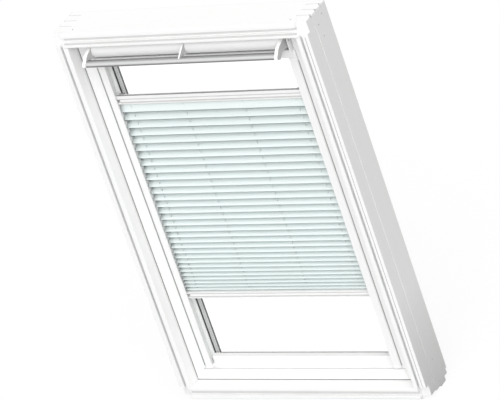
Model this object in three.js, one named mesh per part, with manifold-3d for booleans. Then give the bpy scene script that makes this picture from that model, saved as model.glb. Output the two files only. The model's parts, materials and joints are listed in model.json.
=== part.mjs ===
// A centre-pivot roof window with a pleated blind in its sash, as it stands upright with the
// room side in front. Millimetres: X runs right, Y from the room outwards, Z up. The origin is
// the middle of the flat underside of the sill.

import * as THREE from 'three';
import { mergeVertices } from 'three/addons/utils/BufferGeometryUtils.js';
import Module from 'manifold-3d';

const wasm = await Module();
wasm.setup();

// Clearances shared by all pieces
const seam = 0.3;
const overrun = 10;
const edgeRound = 2;
const arcSteps = 5;
const boreSides = 24;

// Frame
const frameWidth = 780;
const frameHeight = 1178;
const frameDepth = 124;
const jambThickness = 39;
const headThickness = 42;
const sillThickness = 42;
const liningGrooveDepth = 10;
const jambFaceWidth = 13;
const jambGrooveWidth = 8;
const jambRibWidth = 6.5;
const jambStepDepth = 2.8;
const sideRecess = 1.4;
const sideRecessDepth = 49.5;
const headLipHeight = 12.4;
const headGrooveHeight = 15.1;
const headStripHeight = 8;
const headQuirkDepth = 2.8;
const sillLipLift = 8;
const sillLipHeight = 9.4;
const sillGrooveHeight = 15.2;
const sillUndercutDepth = 14;

// Comb joints at the frame's corners
const cornerCutDepth = 16;
const headCutWidth = 30;
const headCutHeight = 34;
const sillCutWidth = 28.4;
const sillCutRise = 1.6;
const fingerWidth = 28.5;
const fingerTipRound = 6;
const fingerNotch = 6;
const jambFootLift = 10;
const sillFootLift = 6;
const rearFootLift = 13.5;
const rearNotchDepth = 6;
const rearNotchHeight = 27;

// Sash
const sashGap = 3;
const sashSetback = 41;
const sashRearSetback = 108;
const stileWebWidth = 42;
const stileFaceWidth = 53;
const stileTenonWidth = 30;
const glazingLipReach = 21;
const glazingLipThickness = 4.2;
const glazingSeat = 70.2;
const bottomRailFaceHeight = 32;
const bottomRailTenonHeight = 35;
const bottomRailRebateHeight = 30;
const backboardHeight = 35;
const backboardSetback = 10;
const backboardSlope = 2;
const ledgeRise = 1;
const topRailFaceHeight = 24;
const topRailFaceTop = 53;
const topRailUprightDepth = 24;
const topRailRebateHeight = 58;
const sashSealThickness = 1.9;
const sashSealWidth = 4;
const sashSealSetback = 88;

// Glazing
const paneThickness = 4;
const spacerDepth = 16;
const glassEdgeGap = 3;
const gasketReach = 1.4;
const gasketHold = 9;
const gasketLedgeDrop = 4.5;
const gasketThickness = 4;
const spacerWidth = 18;

// Pivot hinges
const pivotInset = 28;
const hingePlateLength = 92;
const hingePlateWidth = 34;
const hingePlateThickness = 3.4;
const hingePinRadius = 6;
const hingePinReach = 12;

// Outer covers
const sheetThickness = 1.7;
const sashCoverOverlap = 15.5;
const glassSealGap = 0.6;
const frameCoverInset = 12;
const frameCoverWidth = 26;
const frameCoverRib = 4;

// Vent flap, its arms and the control bar
const flapAxisDepth = 36;
const flapAxisDrop = 24;
const flapRadius = 23.5;
const flapThickness = 3;
const flapTurnShares = [0.334, 0.645];
const armThickness = 10;
const armSideGap = 6;
const armEyeRadius = 20;
const middleArmThickness = 4.5;
const barReach = 69;
const barDepth = 24;
const barTopDrop = 8;
const barHeight = 14;
const barRearDrop = 0.8;
const barChinWidth = 5;
const barHeelRise = 1.5;
const barNoseRound = 6.5;
const barRound = 2.4;
const armCheekThickness = 3.5;
const armOutlineShares = [
  [0, 0.95],
  [0.25, 0.65, 0.5],
  [0.7, 0.2, 1.2],
  [0.97, -0.6, 0.1],
  [1, -0.95, 0.1],
  [0.8, -1.3, 0.1],
  [0.6, -0.85, 0.6],
  [0.45, -0.7, 0.6],
  [0.35, -0.8, 0.2],
  [0, -0.95],
];
const middleArmOutlineShares = [
  [0.1, 0.5],
  [0.28, 0.75, 0.05],
  [0.44, 0.65, 0.6],
  [0.91, -0.3, 0.05],
  [0.86, -0.5],
  [0.75, -0.5, 0.05],
  [0.5, -0.6, 1],
  [0.21, -0.82],
  [0.1, -0.5],
];
const flapPinRadius = 3;
const flapPinReach = 4.6;
const bearingThickness = 3.2;
const bearingWidth = 16;
const filterDepth = 11;
const filterHeight = 9;

// Lock
const lockWidth = 120;
const lockDepth = 26;
const lockHeight = 44;
const lockPlateWidth = 150;
const lockPlateThickness = 2;
const boltWidth = 14;
const boltDepth = 9;
const boltLength = 30;
const boltProud = 2;
const boltTravel = 8;
const strikerWidth = 80;
const strikerDepth = 24;
const strikerThickness = 2.6;
const strikerPocket = 8;

// Blind side rails
const sideRailSetback = 38;
const sideRailFlangeWidth = 23.5;
const sideRailSeatDepth = 4;
const sideRailSeatGap = 3;
const sideRailLegThickness = 9;
const sideRailLift = 37;
const sideRailRound = 6;
const sideRailCapHeight = 8;
const cordGrooveDepth = 4;
const cordGrooveWidth = 5;
const cordSetback = 58.5;
const cordRadius = 0.6;
const cordSides = 8;

// Blind
const blindRailSetback = 46;
const blindRailDepth = 19;
const blindRailEndGap = 0.7;
const blindRailWall = 1.6;
const blindGrooveDepth = 1.4;
const topRailHeight = 26.9;
const topRailPlaceShare = 0.899;
const bottomRailHeight = 19;
const bottomRailPlaceShare = 0.252;
const blindGrooveShares = [0.2, 0.33, 0.5, 0.68];
const shoeInsert = 16;
const shoeNotch = 4.5;
const tongueWidth = 3.4;
const tongueHeight = 14;
const clothSideGap = 2.2;
const clothThickness = 0.8;
const clothFrontSetback = 47;
const clothRearSetback = 64;
const pleatCount = 29;
const pleatTaperShare = 0.34;

// Lines that several pieces share
const outerSide = frameWidth / 2;
const revealSide = outerSide - jambThickness;
const headUnderside = frameHeight - headThickness;
const sashSide = revealSide - sashGap;
const sashTop = headUnderside - sashGap;
const sashBottom = sillThickness + sashGap;
const stileWebSide = sashSide - stileWebWidth;
const stileFaceSide = sashSide - stileFaceWidth;
const lipSide = stileWebSide - glazingLipReach;
const lipFrontSetback = glazingSeat - glazingLipThickness;
const pivotHeight = frameHeight / 2;
const pivotDepth = sashRearSetback - pivotInset;
const lockSetback = (sideRailSetback + topRailUprightDepth + sashRearSetback) / 2;
const railFaceTop = sashTop - topRailFaceTop;
const railFaceBottom = railFaceTop - topRailFaceHeight;
const lipBottom = sashBottom + bottomRailFaceHeight + backboardHeight + ledgeRise;
const rebateTop = sashTop - topRailRebateHeight;
const rebateBottom = sashBottom + bottomRailRebateHeight;
const innerPaneSetback = glazingSeat + gasketThickness + seam;
const spacerSetback = innerPaneSetback + paneThickness + seam;
const outerPaneSetback = innerPaneSetback + paneThickness + spacerDepth;
const glassSide = stileWebSide - glassEdgeGap;
const glassTop = rebateTop - glassEdgeGap;
const glassBottom = rebateBottom + glassEdgeGap;
const flapAxisHeight = headUnderside - flapAxisDrop;
const flapAxis = new THREE.Vector2(behind(flapAxisDepth), flapAxisHeight);
const armOuterPlace = stileWebSide - armSideGap;
const sideRailInner = stileFaceSide - seam - sideRailLegThickness;
const sideRailBottom = sashBottom + sideRailLift;
const sideRailRun = railFaceBottom - sideRailBottom;
const topRailTopLine = sideRailBottom + topRailPlaceShare * sideRailRun;
const bottomRailTopLine = sideRailBottom + bottomRailPlaceShare * sideRailRun;
const railSeatSide = sideRailInner + sideRailFlangeWidth + sideRailSeatGap;
const railSeatSetback = sashSetback + sideRailSeatDepth;
const blindRailSide = sideRailInner - blindRailEndGap;
const cordSide = sideRailInner + cordGrooveDepth / 2;
const clothTop = topRailTopLine - topRailHeight - seam;
const clothBottom = bottomRailTopLine + seam;

// Materials
const paint = (color, roughness, metalness = 0) =>
  new THREE.MeshStandardMaterial({ color, roughness, metalness, flatShading: true });
const whiteLacquer = paint(0xf7f8f6, 0.38);
const whiteCoat = paint(0xf4f6f5, 0.32);
const silver = paint(0xc9cccb, 0.35, 0.8);
const steel = paint(0xb4b7b8, 0.35, 0.9);
const greyCoat = paint(0x6d7073, 0.45);
const blackRubber = paint(0x2b2e30, 0.75);
const greyPlastic = paint(0x9a9d9d, 0.55);
const foam = paint(0x8e9294, 0.95);
const cloth = paint(0xe4efed, 0.9);
const cordYarn = paint(0xe9ecea, 0.85);
const glass = paint(0xdfeaea, 0.05);

// A place measured from the room-side face of the frame outwards
function behind(distance) {
  return distance - frameDepth / 2;
}

// A unit solid's vertices moved to exact places along one axis
function spread(geometry, axis, range) {
  const places = geometry.attributes.position;
  const ends = [Math.min(...range), Math.max(...range)];
  for (let index = 0; index < places.count; index += 1) {
    const far = places.getComponent(index, axis) > 0;
    places.setComponent(index, axis, ends[far ? 1 : 0]);
  }
  return geometry;
}

function block(acrossX, acrossY, acrossZ) {
  const geometry = new THREE.BoxGeometry(1, 1, 1);
  return [acrossX, acrossY, acrossZ].reduce((box, range, axis) => spread(box, axis, range), geometry);
}

// An outline of [u, v, radius] corners, each corner with a radius turned into an arc
function rounded(corners) {
  const points = [];
  corners.forEach(([u, v, radius = 0], index) => {
    const corner = new THREE.Vector2(u, v);
    if (radius === 0) {
      points.push(corner);
      return;
    }
    const before = corners.at(index - 1);
    const after = corners[(index + 1) % corners.length];
    const toBefore = new THREE.Vector2(before[0], before[1]).sub(corner).normalize();
    const toAfter = new THREE.Vector2(after[0], after[1]).sub(corner).normalize();
    const halfAngle = Math.acos(toBefore.dot(toAfter)) / 2;
    const middle = toBefore.clone().add(toAfter).normalize();
    middle.multiplyScalar(radius / Math.sin(halfAngle)).add(corner);
    const start = toBefore.multiplyScalar(radius / Math.tan(halfAngle)).add(corner).sub(middle);
    const end = toAfter.multiplyScalar(radius / Math.tan(halfAngle)).add(corner).sub(middle);
    const sweep = Math.atan2(start.cross(end), start.dot(end));
    for (let step = 0; step <= arcSteps; step += 1) {
      const turn = (sweep * step) / arcSteps;
      points.push(start.clone().rotateAround(new THREE.Vector2(), turn).add(middle));
    }
  });
  return points;
}

function extruded(points, range, basis) {
  const geometry = new THREE.ExtrudeGeometry(new THREE.Shape(points), { depth: 1, bevelEnabled: false });
  return spread(geometry, 2, range).applyMatrix4(basis);
}

const unitX = new THREE.Vector3(1, 0, 0);
const unitY = new THREE.Vector3(0, 1, 0);
const unitZ = new THREE.Vector3(0, 0, 1);
const basisX = new THREE.Matrix4().makeBasis(unitY, unitZ, unitX);
const basisY = new THREE.Matrix4().makeBasis(unitX, unitZ, unitY.clone().negate());
const basisZ = new THREE.Matrix4();

// Outlines in (Y, Z), (X, Z) and (X, Y), drawn out along the third axis
const alongX = (points, range) => extruded(points, range, basisX);
const alongY = (points, [start, end]) => extruded(points, [-end, -start], basisY);
const alongZ = (points, range) => extruded(points, range, basisZ);

function barAlong(axis, radius, sides, range, middle) {
  const start = Math.min(...range);
  const length = Math.max(...range) - start;
  const geometry = new THREE.CylinderGeometry(radius, radius, length, sides);
  if (axis === 'x') {
    geometry.rotateZ(Math.PI / 2);
    return geometry.translate(start + length / 2, middle[0], middle[1]);
  }
  geometry.rotateX(Math.PI / 2);
  return geometry.translate(middle[0], middle[1], start + length / 2);
}

function toSolid(geometry) {
  const bare = geometry.clone();
  bare.deleteAttribute('normal');
  bare.deleteAttribute('uv');
  const merged = mergeVertices(bare);
  return new wasm.Manifold(new wasm.Mesh({
    numProp: 3,
    vertProperties: merged.attributes.position.array,
    triVerts: new Uint32Array(merged.index.array),
  }));
}

function toGeometry(solid) {
  const { vertProperties, triVerts } = solid.getMesh();
  const geometry = new THREE.BufferGeometry();
  geometry.setAttribute('position', new THREE.BufferAttribute(vertProperties, 3));
  geometry.setIndex(new THREE.BufferAttribute(triVerts, 1));
  return geometry;
}

const combine = (step) => (first, ...others) =>
  toGeometry(others.map(toSolid).reduce(step, toSolid(first)));
const cut = combine((left, right) => left.subtract(right));
const join = combine((left, right) => left.add(right));
const common = combine((left, right) => left.intersect(right));

const skylight = new THREE.Group();
const addBody = () => {
  const body = new THREE.Group();
  skylight.add(body);
  return body;
};
const frame = addBody();
const sash = addBody();
const flap = addBody();
const latch = addBody();
const blindTop = addBody();
const blindBottom = addBody();

function addPiece(body, name, geometry, material) {
  const piece = new THREE.Mesh(geometry, material);
  piece.name = name;
  body.add(piece);
}

const sides = [['left', -1], ['right', 1]];

// Frame: four members with comb joints. Fingers one and three belong to the jambs, two and four
// to the head and the sill.
const fingerStart = (index) => cornerCutDepth + index * fingerWidth;
const fingerEnd = (index) => (index === 3 ? frameDepth : fingerStart(index + 1));
const fingerRange = (index, slack) => {
  const start = index === 0 ? cornerCutDepth - overrun : fingerStart(index) - slack;
  const end = index === 3 ? frameDepth + overrun : fingerEnd(index) + slack;
  return [behind(start), behind(end)];
};
const wholeDepth = [behind(-overrun), behind(frameDepth + overrun)];
const frontLayer = [behind(-overrun), behind(cornerCutDepth)];
const above = frameHeight + overrun;
const below = -overrun;

// The rounded outline that trims every finger's outer corner at the head
const headTrim = alongY(rounded([
  [-outerSide, below],
  [outerSide, below],
  [outerSide, frameHeight, fingerTipRound],
  [-outerSide, frameHeight, fingerTipRound],
]), wholeDepth);

// A nick across the corner where two fingers meet
function fingerNicks(side) {
  return [1, 2, 3].map((index) => {
    const edge = fingerNotch * Math.SQRT2;
    const nick = new THREE.BoxGeometry(edge, edge, frameDepth).rotateZ(Math.PI / 4);
    nick.rotateY(side * Math.PI / 4);
    return nick.translate(side * outerSide, behind(fingerStart(index)), frameHeight);
  });
}

function addHead() {
  const lipBottomLine = frameHeight - headLipHeight;
  const grooveBottom = lipBottomLine - headGrooveHeight;
  const stripTop = headUnderside + headStripHeight;
  const section = rounded([
    [behind(0), frameHeight, edgeRound],
    [behind(0), lipBottomLine],
    [behind(liningGrooveDepth), lipBottomLine],
    [behind(liningGrooveDepth), grooveBottom],
    [behind(headQuirkDepth), grooveBottom],
    [behind(headQuirkDepth), stripTop],
    [behind(0), stripTop],
    [behind(0), headUnderside, edgeRound],
    [behind(frameDepth), headUnderside],
    [behind(frameDepth), frameHeight],
  ]);
  const full = [headUnderside - overrun, above];
  const cuts = sides.flatMap(([, side]) => {
    const outward = side * (outerSide + overrun);
    const jambSlot = [side * (revealSide - seam), outward];
    return [
      block([side * (outerSide - headCutWidth - seam), outward], frontLayer, full),
      block(jambSlot, [behind(cornerCutDepth - seam), fingerRange(0, seam / 2)[1]], full),
      block(jambSlot, fingerRange(2, seam / 2), full),
      ...fingerNicks(side),
    ];
  });
  const strikerX = [-strikerWidth / 2 - seam, strikerWidth / 2 + seam];
  const strikerReach = strikerDepth / 2 + seam;
  const strikerY = [behind(lockSetback - strikerReach), behind(lockSetback + strikerReach)];
  const boltX = [-boltWidth, boltWidth];
  const boltY = [behind(lockSetback - boltDepth), behind(lockSetback + boltDepth)];
  const plateTop = headUnderside + strikerThickness + seam;
  cuts.push(block(strikerX, strikerY, [headUnderside - overrun, plateTop]));
  cuts.push(block(boltX, boltY, [headUnderside - overrun, plateTop + strikerPocket]));
  const head = cut(alongX(section, [-outerSide, outerSide]), ...cuts);
  addPiece(frame, 'frame_head', common(head, headTrim), whiteLacquer);
}

function addSill() {
  const lipTop = sillLipLift + sillLipHeight;
  const grooveTop = lipTop + sillGrooveHeight;
  const section = rounded([
    [behind(0), sillLipLift],
    [behind(0), lipTop],
    [behind(liningGrooveDepth), lipTop],
    [behind(liningGrooveDepth), grooveTop],
    [behind(0), grooveTop],
    [behind(0), sillThickness, edgeRound],
    [behind(frameDepth), sillThickness],
    [behind(frameDepth), 0],
    [behind(sillUndercutDepth), 0],
    [behind(sillUndercutDepth), sillLipLift],
  ]);
  const full = [below, sillThickness + overrun];
  const cuts = sides.flatMap(([, side]) => {
    const outward = side * (outerSide + overrun);
    const jambSlot = [side * (revealSide - seam), outward];
    return [
      block([side * (outerSide - sillCutWidth), outward], frontLayer, full),
      block(jambSlot, [behind(cornerCutDepth - seam), fingerRange(0, seam / 2)[1]], full),
      block(jambSlot, fingerRange(2, seam / 2), full),
      block(jambSlot, fingerRange(1, seam), [below, sillFootLift]),
      block(jambSlot, fingerRange(3, seam), [below, rearFootLift]),
      block(jambSlot, [behind(frameDepth - rearNotchDepth), wholeDepth[1]], [below, rearNotchHeight]),
    ];
  });
  addPiece(frame, 'frame_sill', cut(alongX(section, [-outerSide, outerSide]), ...cuts), whiteLacquer);
}

function addJamb(label, side) {
  const grooveInner = revealSide + jambFaceWidth;
  const grooveOuter = grooveInner + jambGrooveWidth;
  const ribOuter = grooveOuter + jambRibWidth;
  const recessed = outerSide - sideRecess;
  const section = rounded([
    [side * revealSide, behind(0), edgeRound],
    [side * grooveInner, behind(0)],
    [side * grooveInner, behind(liningGrooveDepth)],
    [side * grooveOuter, behind(liningGrooveDepth)],
    [side * grooveOuter, behind(0)],
    [side * ribOuter, behind(0)],
    [side * ribOuter, behind(jambStepDepth)],
    [side * recessed, behind(jambStepDepth)],
    [side * recessed, behind(sideRecessDepth)],
    [side * outerSide, behind(sideRecessDepth)],
    [side * outerSide, behind(frameDepth)],
    [side * revealSide, behind(frameDepth)],
  ]);
  const wholeX = [side * (revealSide - overrun), side * (outerSide + overrun)];
  const headX = [side * (revealSide - overrun), side * (outerSide - headCutWidth)];
  const footX = [side * (outerSide - sillCutWidth), side * (outerSide + overrun)];
  const headSlot = [headUnderside - seam, above];
  const sillSlot = [below, sillThickness + seam];
  const plateRun = hingePlateLength / 2 + seam;
  const plateHalf = hingePlateWidth / 2 + seam;
  const plateRange = [pivotHeight - plateRun, pivotHeight + plateRun];
  const plateDepth = [behind(pivotDepth - plateHalf), behind(pivotDepth + plateHalf)];
  const plateX = [side * (revealSide - overrun), side * (revealSide + hingePlateThickness + seam)];
  const jamb = cut(
    alongZ(section, [0, frameHeight]),
    block(wholeX, frontLayer, [frameHeight - headCutHeight, above]),
    block(headX, frontLayer, headSlot),
    block(wholeX, fingerRange(1, seam / 2), headSlot),
    block(wholeX, fingerRange(3, seam / 2), headSlot),
    block(wholeX, frontLayer, sillSlot),
    block(footX, frontLayer, [below, sillThickness + sillCutRise]),
    block(wholeX, fingerRange(1, seam / 2), sillSlot),
    block(wholeX, fingerRange(3, seam / 2), sillSlot),
    block(wholeX, [behind(0), behind(fingerEnd(0))], [below, jambFootLift]),
    block(plateX, plateDepth, plateRange),
    ...fingerNicks(side),
  );
  addPiece(frame, `frame_${label}_jamb`, common(jamb, headTrim), whiteLacquer);
}

function addStriker() {
  const x = [-strikerWidth / 2, strikerWidth / 2];
  const y = [behind(lockSetback - strikerDepth / 2), behind(lockSetback + strikerDepth / 2)];
  const z = [headUnderside, headUnderside + strikerThickness];
  const hole = block(
    [-boltWidth + sashGap, boltWidth - sashGap],
    [behind(lockSetback - boltDepth + sashGap), behind(lockSetback + boltDepth - sashGap)],
    [z[0] - overrun, z[1] + overrun],
  );
  addPiece(frame, 'striker_plate', cut(block(x, y, z), hole), steel);
}

const pivotPlace = [behind(pivotDepth), pivotHeight];
const plateOutline = (slack) => {
  const halfWidth = hingePlateWidth / 2 + slack;
  const halfLength = hingePlateLength / 2 + slack;
  return [
    [behind(pivotDepth) - halfWidth, pivotHeight - halfLength],
    [behind(pivotDepth) + halfWidth, pivotHeight - halfLength],
    [behind(pivotDepth) + halfWidth, pivotHeight + halfLength],
    [behind(pivotDepth) - halfWidth, pivotHeight + halfLength],
  ];
};

function addFrameHinge(label, side) {
  const plateX = [side * revealSide, side * (revealSide + hingePlateThickness)];
  const pinX = [side * (revealSide - hingePinReach), plateX[1]];
  const hinge = join(
    alongX(rounded(plateOutline(0)), plateX),
    barAlong('x', hingePinRadius, boreSides, pinX, pivotPlace),
  );
  addPiece(frame, `${label}_frame_hinge`, hinge, steel);
}

function addSashHinge(label, side) {
  const plateX = [side * (sashSide - hingePlateThickness), side * sashSide];
  const boreX = [side * (sashSide - overrun), side * (sashSide + overrun)];
  const hinge = cut(
    alongX(rounded(plateOutline(0)), plateX),
    barAlong('x', hingePinRadius + seam, boreSides, boreX, pivotPlace),
  );
  addPiece(sash, `${label}_sash_hinge`, hinge, steel);
}

function addFrameCovers() {
  const seat = frameDepth + seam;
  const face = seat + sheetThickness;
  const ribbed = (inner, outer, place) => rounded([
    place(inner, behind(seat)),
    place(outer, behind(seat)),
    place(outer, behind(face + frameCoverRib)),
    place(outer - Math.sign(outer - inner) * sheetThickness, behind(face + frameCoverRib)),
    place(outer - Math.sign(outer - inner) * sheetThickness, behind(face)),
    place(inner, behind(face)),
  ]);
  const sideOuter = outerSide - frameCoverInset;
  const sideInner = sideOuter - frameCoverWidth;
  const topOuter = frameHeight - frameCoverInset;
  const topInner = topOuter - frameCoverWidth;
  const bottomOuter = rearNotchHeight / 2;
  const bottomInner = bottomOuter + frameCoverWidth;
  sides.forEach(([label, side]) => {
    const section = ribbed(sideInner, sideOuter, (u, v) => [side * u, v]);
    const run = [bottomInner + seam, topInner - seam];
    addPiece(frame, `${label}_frame_cover`, alongZ(section, run), greyCoat);
  });
  const swap = (u, v) => [v, u];
  const across = [-sideOuter, sideOuter];
  addPiece(frame, 'head_frame_cover', alongX(ribbed(topInner, topOuter, swap), across), greyCoat);
  addPiece(frame, 'sill_frame_cover', alongX(ribbed(bottomInner, bottomOuter, swap), across), greyCoat);
}

// Sash: stiles and rails round the sealed glazing
function addStile(label, side) {
  const section = rounded([
    [side * stileFaceSide, behind(sashSetback)],
    [side * sashSide, behind(sashSetback), edgeRound],
    [side * sashSide, behind(sashRearSetback), edgeRound],
    [side * stileWebSide, behind(sashRearSetback)],
    [side * stileWebSide, behind(glazingSeat)],
    [side * lipSide, behind(glazingSeat)],
    [side * lipSide, behind(lipFrontSetback)],
    [side * stileFaceSide, behind(lipFrontSetback)],
  ]);
  const inside = side * (lipSide - overrun);
  const depths = [behind(sashSetback - overrun), behind(sashRearSetback + overrun)];
  const shoulder = side * (sashSide - stileTenonWidth);
  const seatY = [behind(sashSetback - overrun), behind(railSeatSetback)];
  const pinEnd = revealSide - hingePinReach - seam;
  const pinBore = [side * pinEnd, side * (sashSide + overrun)];
  const plateX = [side * (sashSide - hingePlateThickness - seam), side * (sashSide + overrun)];
  const stile = cut(
    alongZ(section, [sashBottom, sashTop]),
    block([inside, side * railSeatSide], seatY, [sideRailBottom - seam, sashTop + overrun]),
    block([inside, shoulder], depths, [below, sashBottom + bottomRailTenonHeight]),
    block([inside, side * stileWebSide], depths, [railFaceBottom, sashTop + overrun]),
    alongX(rounded(plateOutline(seam)), plateX),
    barAlong('x', hingePinRadius + seam, boreSides, pinBore, pivotPlace),
  );
  addPiece(sash, `sash_${label}_stile`, stile, whiteLacquer);
}

function addBottomRail() {
  const faceTop = sashBottom + bottomRailFaceHeight;
  const backboard = sashSetback + backboardSetback;
  const section = rounded([
    [behind(sashSetback), sashBottom],
    [behind(sashSetback), faceTop, edgeRound],
    [behind(backboard), faceTop],
    [behind(backboard + backboardSlope), lipBottom - ledgeRise, edgeRound],
    [behind(glazingSeat), lipBottom],
    [behind(glazingSeat), rebateBottom],
    [behind(sashRearSetback), rebateBottom],
    [behind(sashRearSetback), sashBottom],
  ]);
  const half = sashSide - stileTenonWidth - seam;
  const upper = [sashBottom + bottomRailTenonHeight - seam, lipBottom + overrun];
  const lipFront = behind(lipFrontSetback - seam);
  const cuts = sides.flatMap(([, side]) => {
    const outward = side * (half + overrun);
    return [
      block([side * (sideRailInner - seam), outward], [behind(0), behind(glazingSeat)], upper),
      block([side * (lipSide - seam), outward], [lipFront, behind(glazingSeat)], upper),
      block([side * (stileWebSide - seam), outward], [behind(0), behind(frameDepth)], upper),
    ];
  });
  addPiece(sash, 'sash_bottom_rail', cut(alongX(section, [-half, half]), ...cuts), whiteLacquer);
}

const lockX = [-lockWidth / 2, lockWidth / 2];
const lockY = [behind(lockSetback - lockDepth / 2), behind(lockSetback + lockDepth / 2)];
const lockPlateX = [-lockPlateWidth / 2, lockPlateWidth / 2];
const grow = ([start, end], slack) => [start - slack, end + slack];

function addTopRail() {
  const upright = sideRailSetback + topRailUprightDepth;
  const section = rounded([
    [behind(sideRailSetback), railFaceBottom, edgeRound],
    [behind(sideRailSetback), railFaceTop, edgeRound],
    [behind(upright), railFaceTop],
    [behind(upright), sashTop, edgeRound],
    [behind(sashRearSetback), sashTop, edgeRound],
    [behind(sashRearSetback), rebateTop],
    [behind(glazingSeat), rebateTop],
    [behind(glazingSeat), railFaceBottom],
  ]);
  const half = stileWebSide - seam;
  const ear = sideRailInner + sideRailFlangeWidth;
  const earY = [behind(sideRailSetback + edgeRound), behind(railSeatSetback - seam)];
  const earZ = [railFaceBottom, railFaceTop];
  const rail = join(alongX(section, [-half, half]), block([-ear, ear], earY, earZ));
  const top = sashTop + overrun;
  const cuts = [
    block(grow(lockX, seam), grow(lockY, seam), [sashTop - lockPlateThickness - lockHeight - seam, top]),
    block(grow(lockPlateX, seam), grow(lockY, seam), [sashTop - lockPlateThickness - seam, top]),
  ];
  addPiece(sash, 'sash_top_rail', cut(rail, ...cuts), whiteLacquer);
}

function addLock() {
  const plateZ = [sashTop - lockPlateThickness, sashTop];
  const caseZ = [plateZ[0] - lockHeight, plateZ[0] + seam];
  const boltX = [-boltWidth / 2 - seam, boltWidth / 2 + seam];
  const boltY = [behind(lockSetback - boltDepth / 2 - seam), behind(lockSetback + boltDepth / 2 + seam)];
  const wellBottom = sashTop + boltProud - boltLength - boltTravel - seam;
  const lockBody = join(block(lockX, lockY, caseZ), block(lockPlateX, lockY, plateZ));
  const well = block(boltX, boltY, [wellBottom, sashTop + overrun]);
  addPiece(sash, 'lock_case', cut(lockBody, well), steel);
  const bolt = block(
    [-boltWidth / 2, boltWidth / 2],
    [behind(lockSetback - boltDepth / 2), behind(lockSetback + boltDepth / 2)],
    [sashTop + boltProud - boltLength, sashTop + boltProud],
  );
  addPiece(latch, 'latch_bolt', bolt, steel);
}

// A rectangular ring in the plane of the window, between two depths
function ring(outer, inner, depths) {
  const [side, bottom, top] = outer;
  const [innerSide, innerBottom, innerTop] = inner;
  return cut(
    block([-side, side], depths, [bottom, top]),
    block([-innerSide, innerSide], [depths[0] - overrun, depths[1] + overrun], [innerBottom, innerTop]),
  );
}

function addGlazing() {
  const paneX = [-glassSide, glassSide];
  const paneZ = [glassBottom, glassTop];
  const innerY = [behind(innerPaneSetback), behind(innerPaneSetback + paneThickness)];
  const outerY = [behind(outerPaneSetback), behind(outerPaneSetback + paneThickness)];
  addPiece(sash, 'inner_pane', block(paneX, innerY, paneZ), glass);
  addPiece(sash, 'outer_pane', block(paneX, outerY, paneZ), glass);
  const sealEdge = [glassSide, glassBottom, glassTop];
  const sealInner = [glassSide - spacerWidth, glassBottom + spacerWidth, glassTop - spacerWidth];
  const sealY = [behind(spacerSetback), behind(outerPaneSetback - seam)];
  addPiece(sash, 'spacer_frame', ring(sealEdge, sealInner, sealY), greyPlastic);
  const gasketOuter = [lipSide + gasketHold, lipBottom - gasketHold, railFaceBottom + gasketHold];
  const gasketInner = [lipSide - gasketReach, lipBottom - gasketLedgeDrop, railFaceBottom - gasketReach];
  const gasketY = [behind(glazingSeat + seam), behind(innerPaneSetback - seam)];
  addPiece(sash, 'glazing_gasket', ring(gasketOuter, gasketInner, gasketY), blackRubber);
  const sealSide = sashSide + seam + sashSealThickness;
  const sealReach = seam + sashSealThickness;
  const weatherOuter = [sealSide, sashBottom - sealReach, sashTop + sealReach];
  const weatherInner = [sashSide + seam, sashBottom - seam, sashTop + seam];
  const sealFront = sashSealSetback + edgeRound;
  const weatherY = [behind(sealFront), behind(sealFront + sashSealWidth)];
  const weather = ring(weatherOuter, weatherInner, weatherY);
  const across = [-outerSide, outerSide];
  const split = hingePlateLength / 2 + seam;
  const upper = block(across, wholeDepth, [pivotHeight + split, above]);
  const lower = block(across, wholeDepth, [below, pivotHeight - split]);
  addPiece(sash, 'sash_upper_seal', common(weather, upper), blackRubber);
  addPiece(sash, 'sash_lower_seal', common(weather, lower), blackRubber);
}

// The outer cover profile: a plate over the member and a leg down to the glass
function coverSection(place, outer, inner) {
  const inward = Math.sign(outer - inner) * sheetThickness;
  const seat = sashRearSetback + seam;
  const foot = outerPaneSetback + paneThickness + glassSealGap;
  return rounded([
    place(outer, behind(seat)),
    place(outer, behind(seat + sheetThickness)),
    place(inner, behind(seat + sheetThickness), edgeRound / 2),
    place(inner, behind(foot)),
    place(inner + inward, behind(foot)),
    place(inner + inward, behind(seat)),
  ]);
}

function addSashCovers() {
  const sideInner = stileWebSide - sashCoverOverlap;
  sides.forEach(([label, side]) => {
    const section = coverSection((u, v, r) => [side * u, v, r], sashSide, sideInner);
    const railX = [0, side * stileWebSide];
    const railY = [behind(0), behind(sashRearSetback + seam)];
    const cover = cut(
      alongZ(section, [sashBottom, sashTop]),
      block(railX, railY, [below, rebateBottom + seam]),
      block(railX, railY, [rebateTop - seam, above]),
    );
    addPiece(sash, `sash_${label}_cover`, cover, greyCoat);
  });
  const swap = (u, v, r) => [v, u, r];
  const across = [-(sideInner - seam), sideInner - seam];
  const topInner = rebateTop - sashCoverOverlap;
  const bottomInner = rebateBottom + sashCoverOverlap;
  const topCover = coverSection(swap, sashTop, topInner);
  const bottomCover = coverSection(swap, sashBottom, bottomInner);
  addPiece(sash, 'sash_top_cover', alongX(topCover, across), greyCoat);
  addPiece(sash, 'sash_bottom_cover', alongX(bottomCover, across), greyCoat);
}

// Vent flap: a shell curved about its axis, two end arms, a middle arm and the control bar
function barOutline() {
  const nose = flapAxis.x - barReach;
  const rear = nose + barDepth;
  const top = flapAxis.y - barTopDrop;
  const low = top - barHeight;
  return [
    [rear, top - barRearDrop, barRound],
    [nose, top, barNoseRound],
    [nose + barChinWidth, low, barRound],
    [rear, low + barHeelRise, barRound],
  ];
}

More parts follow.
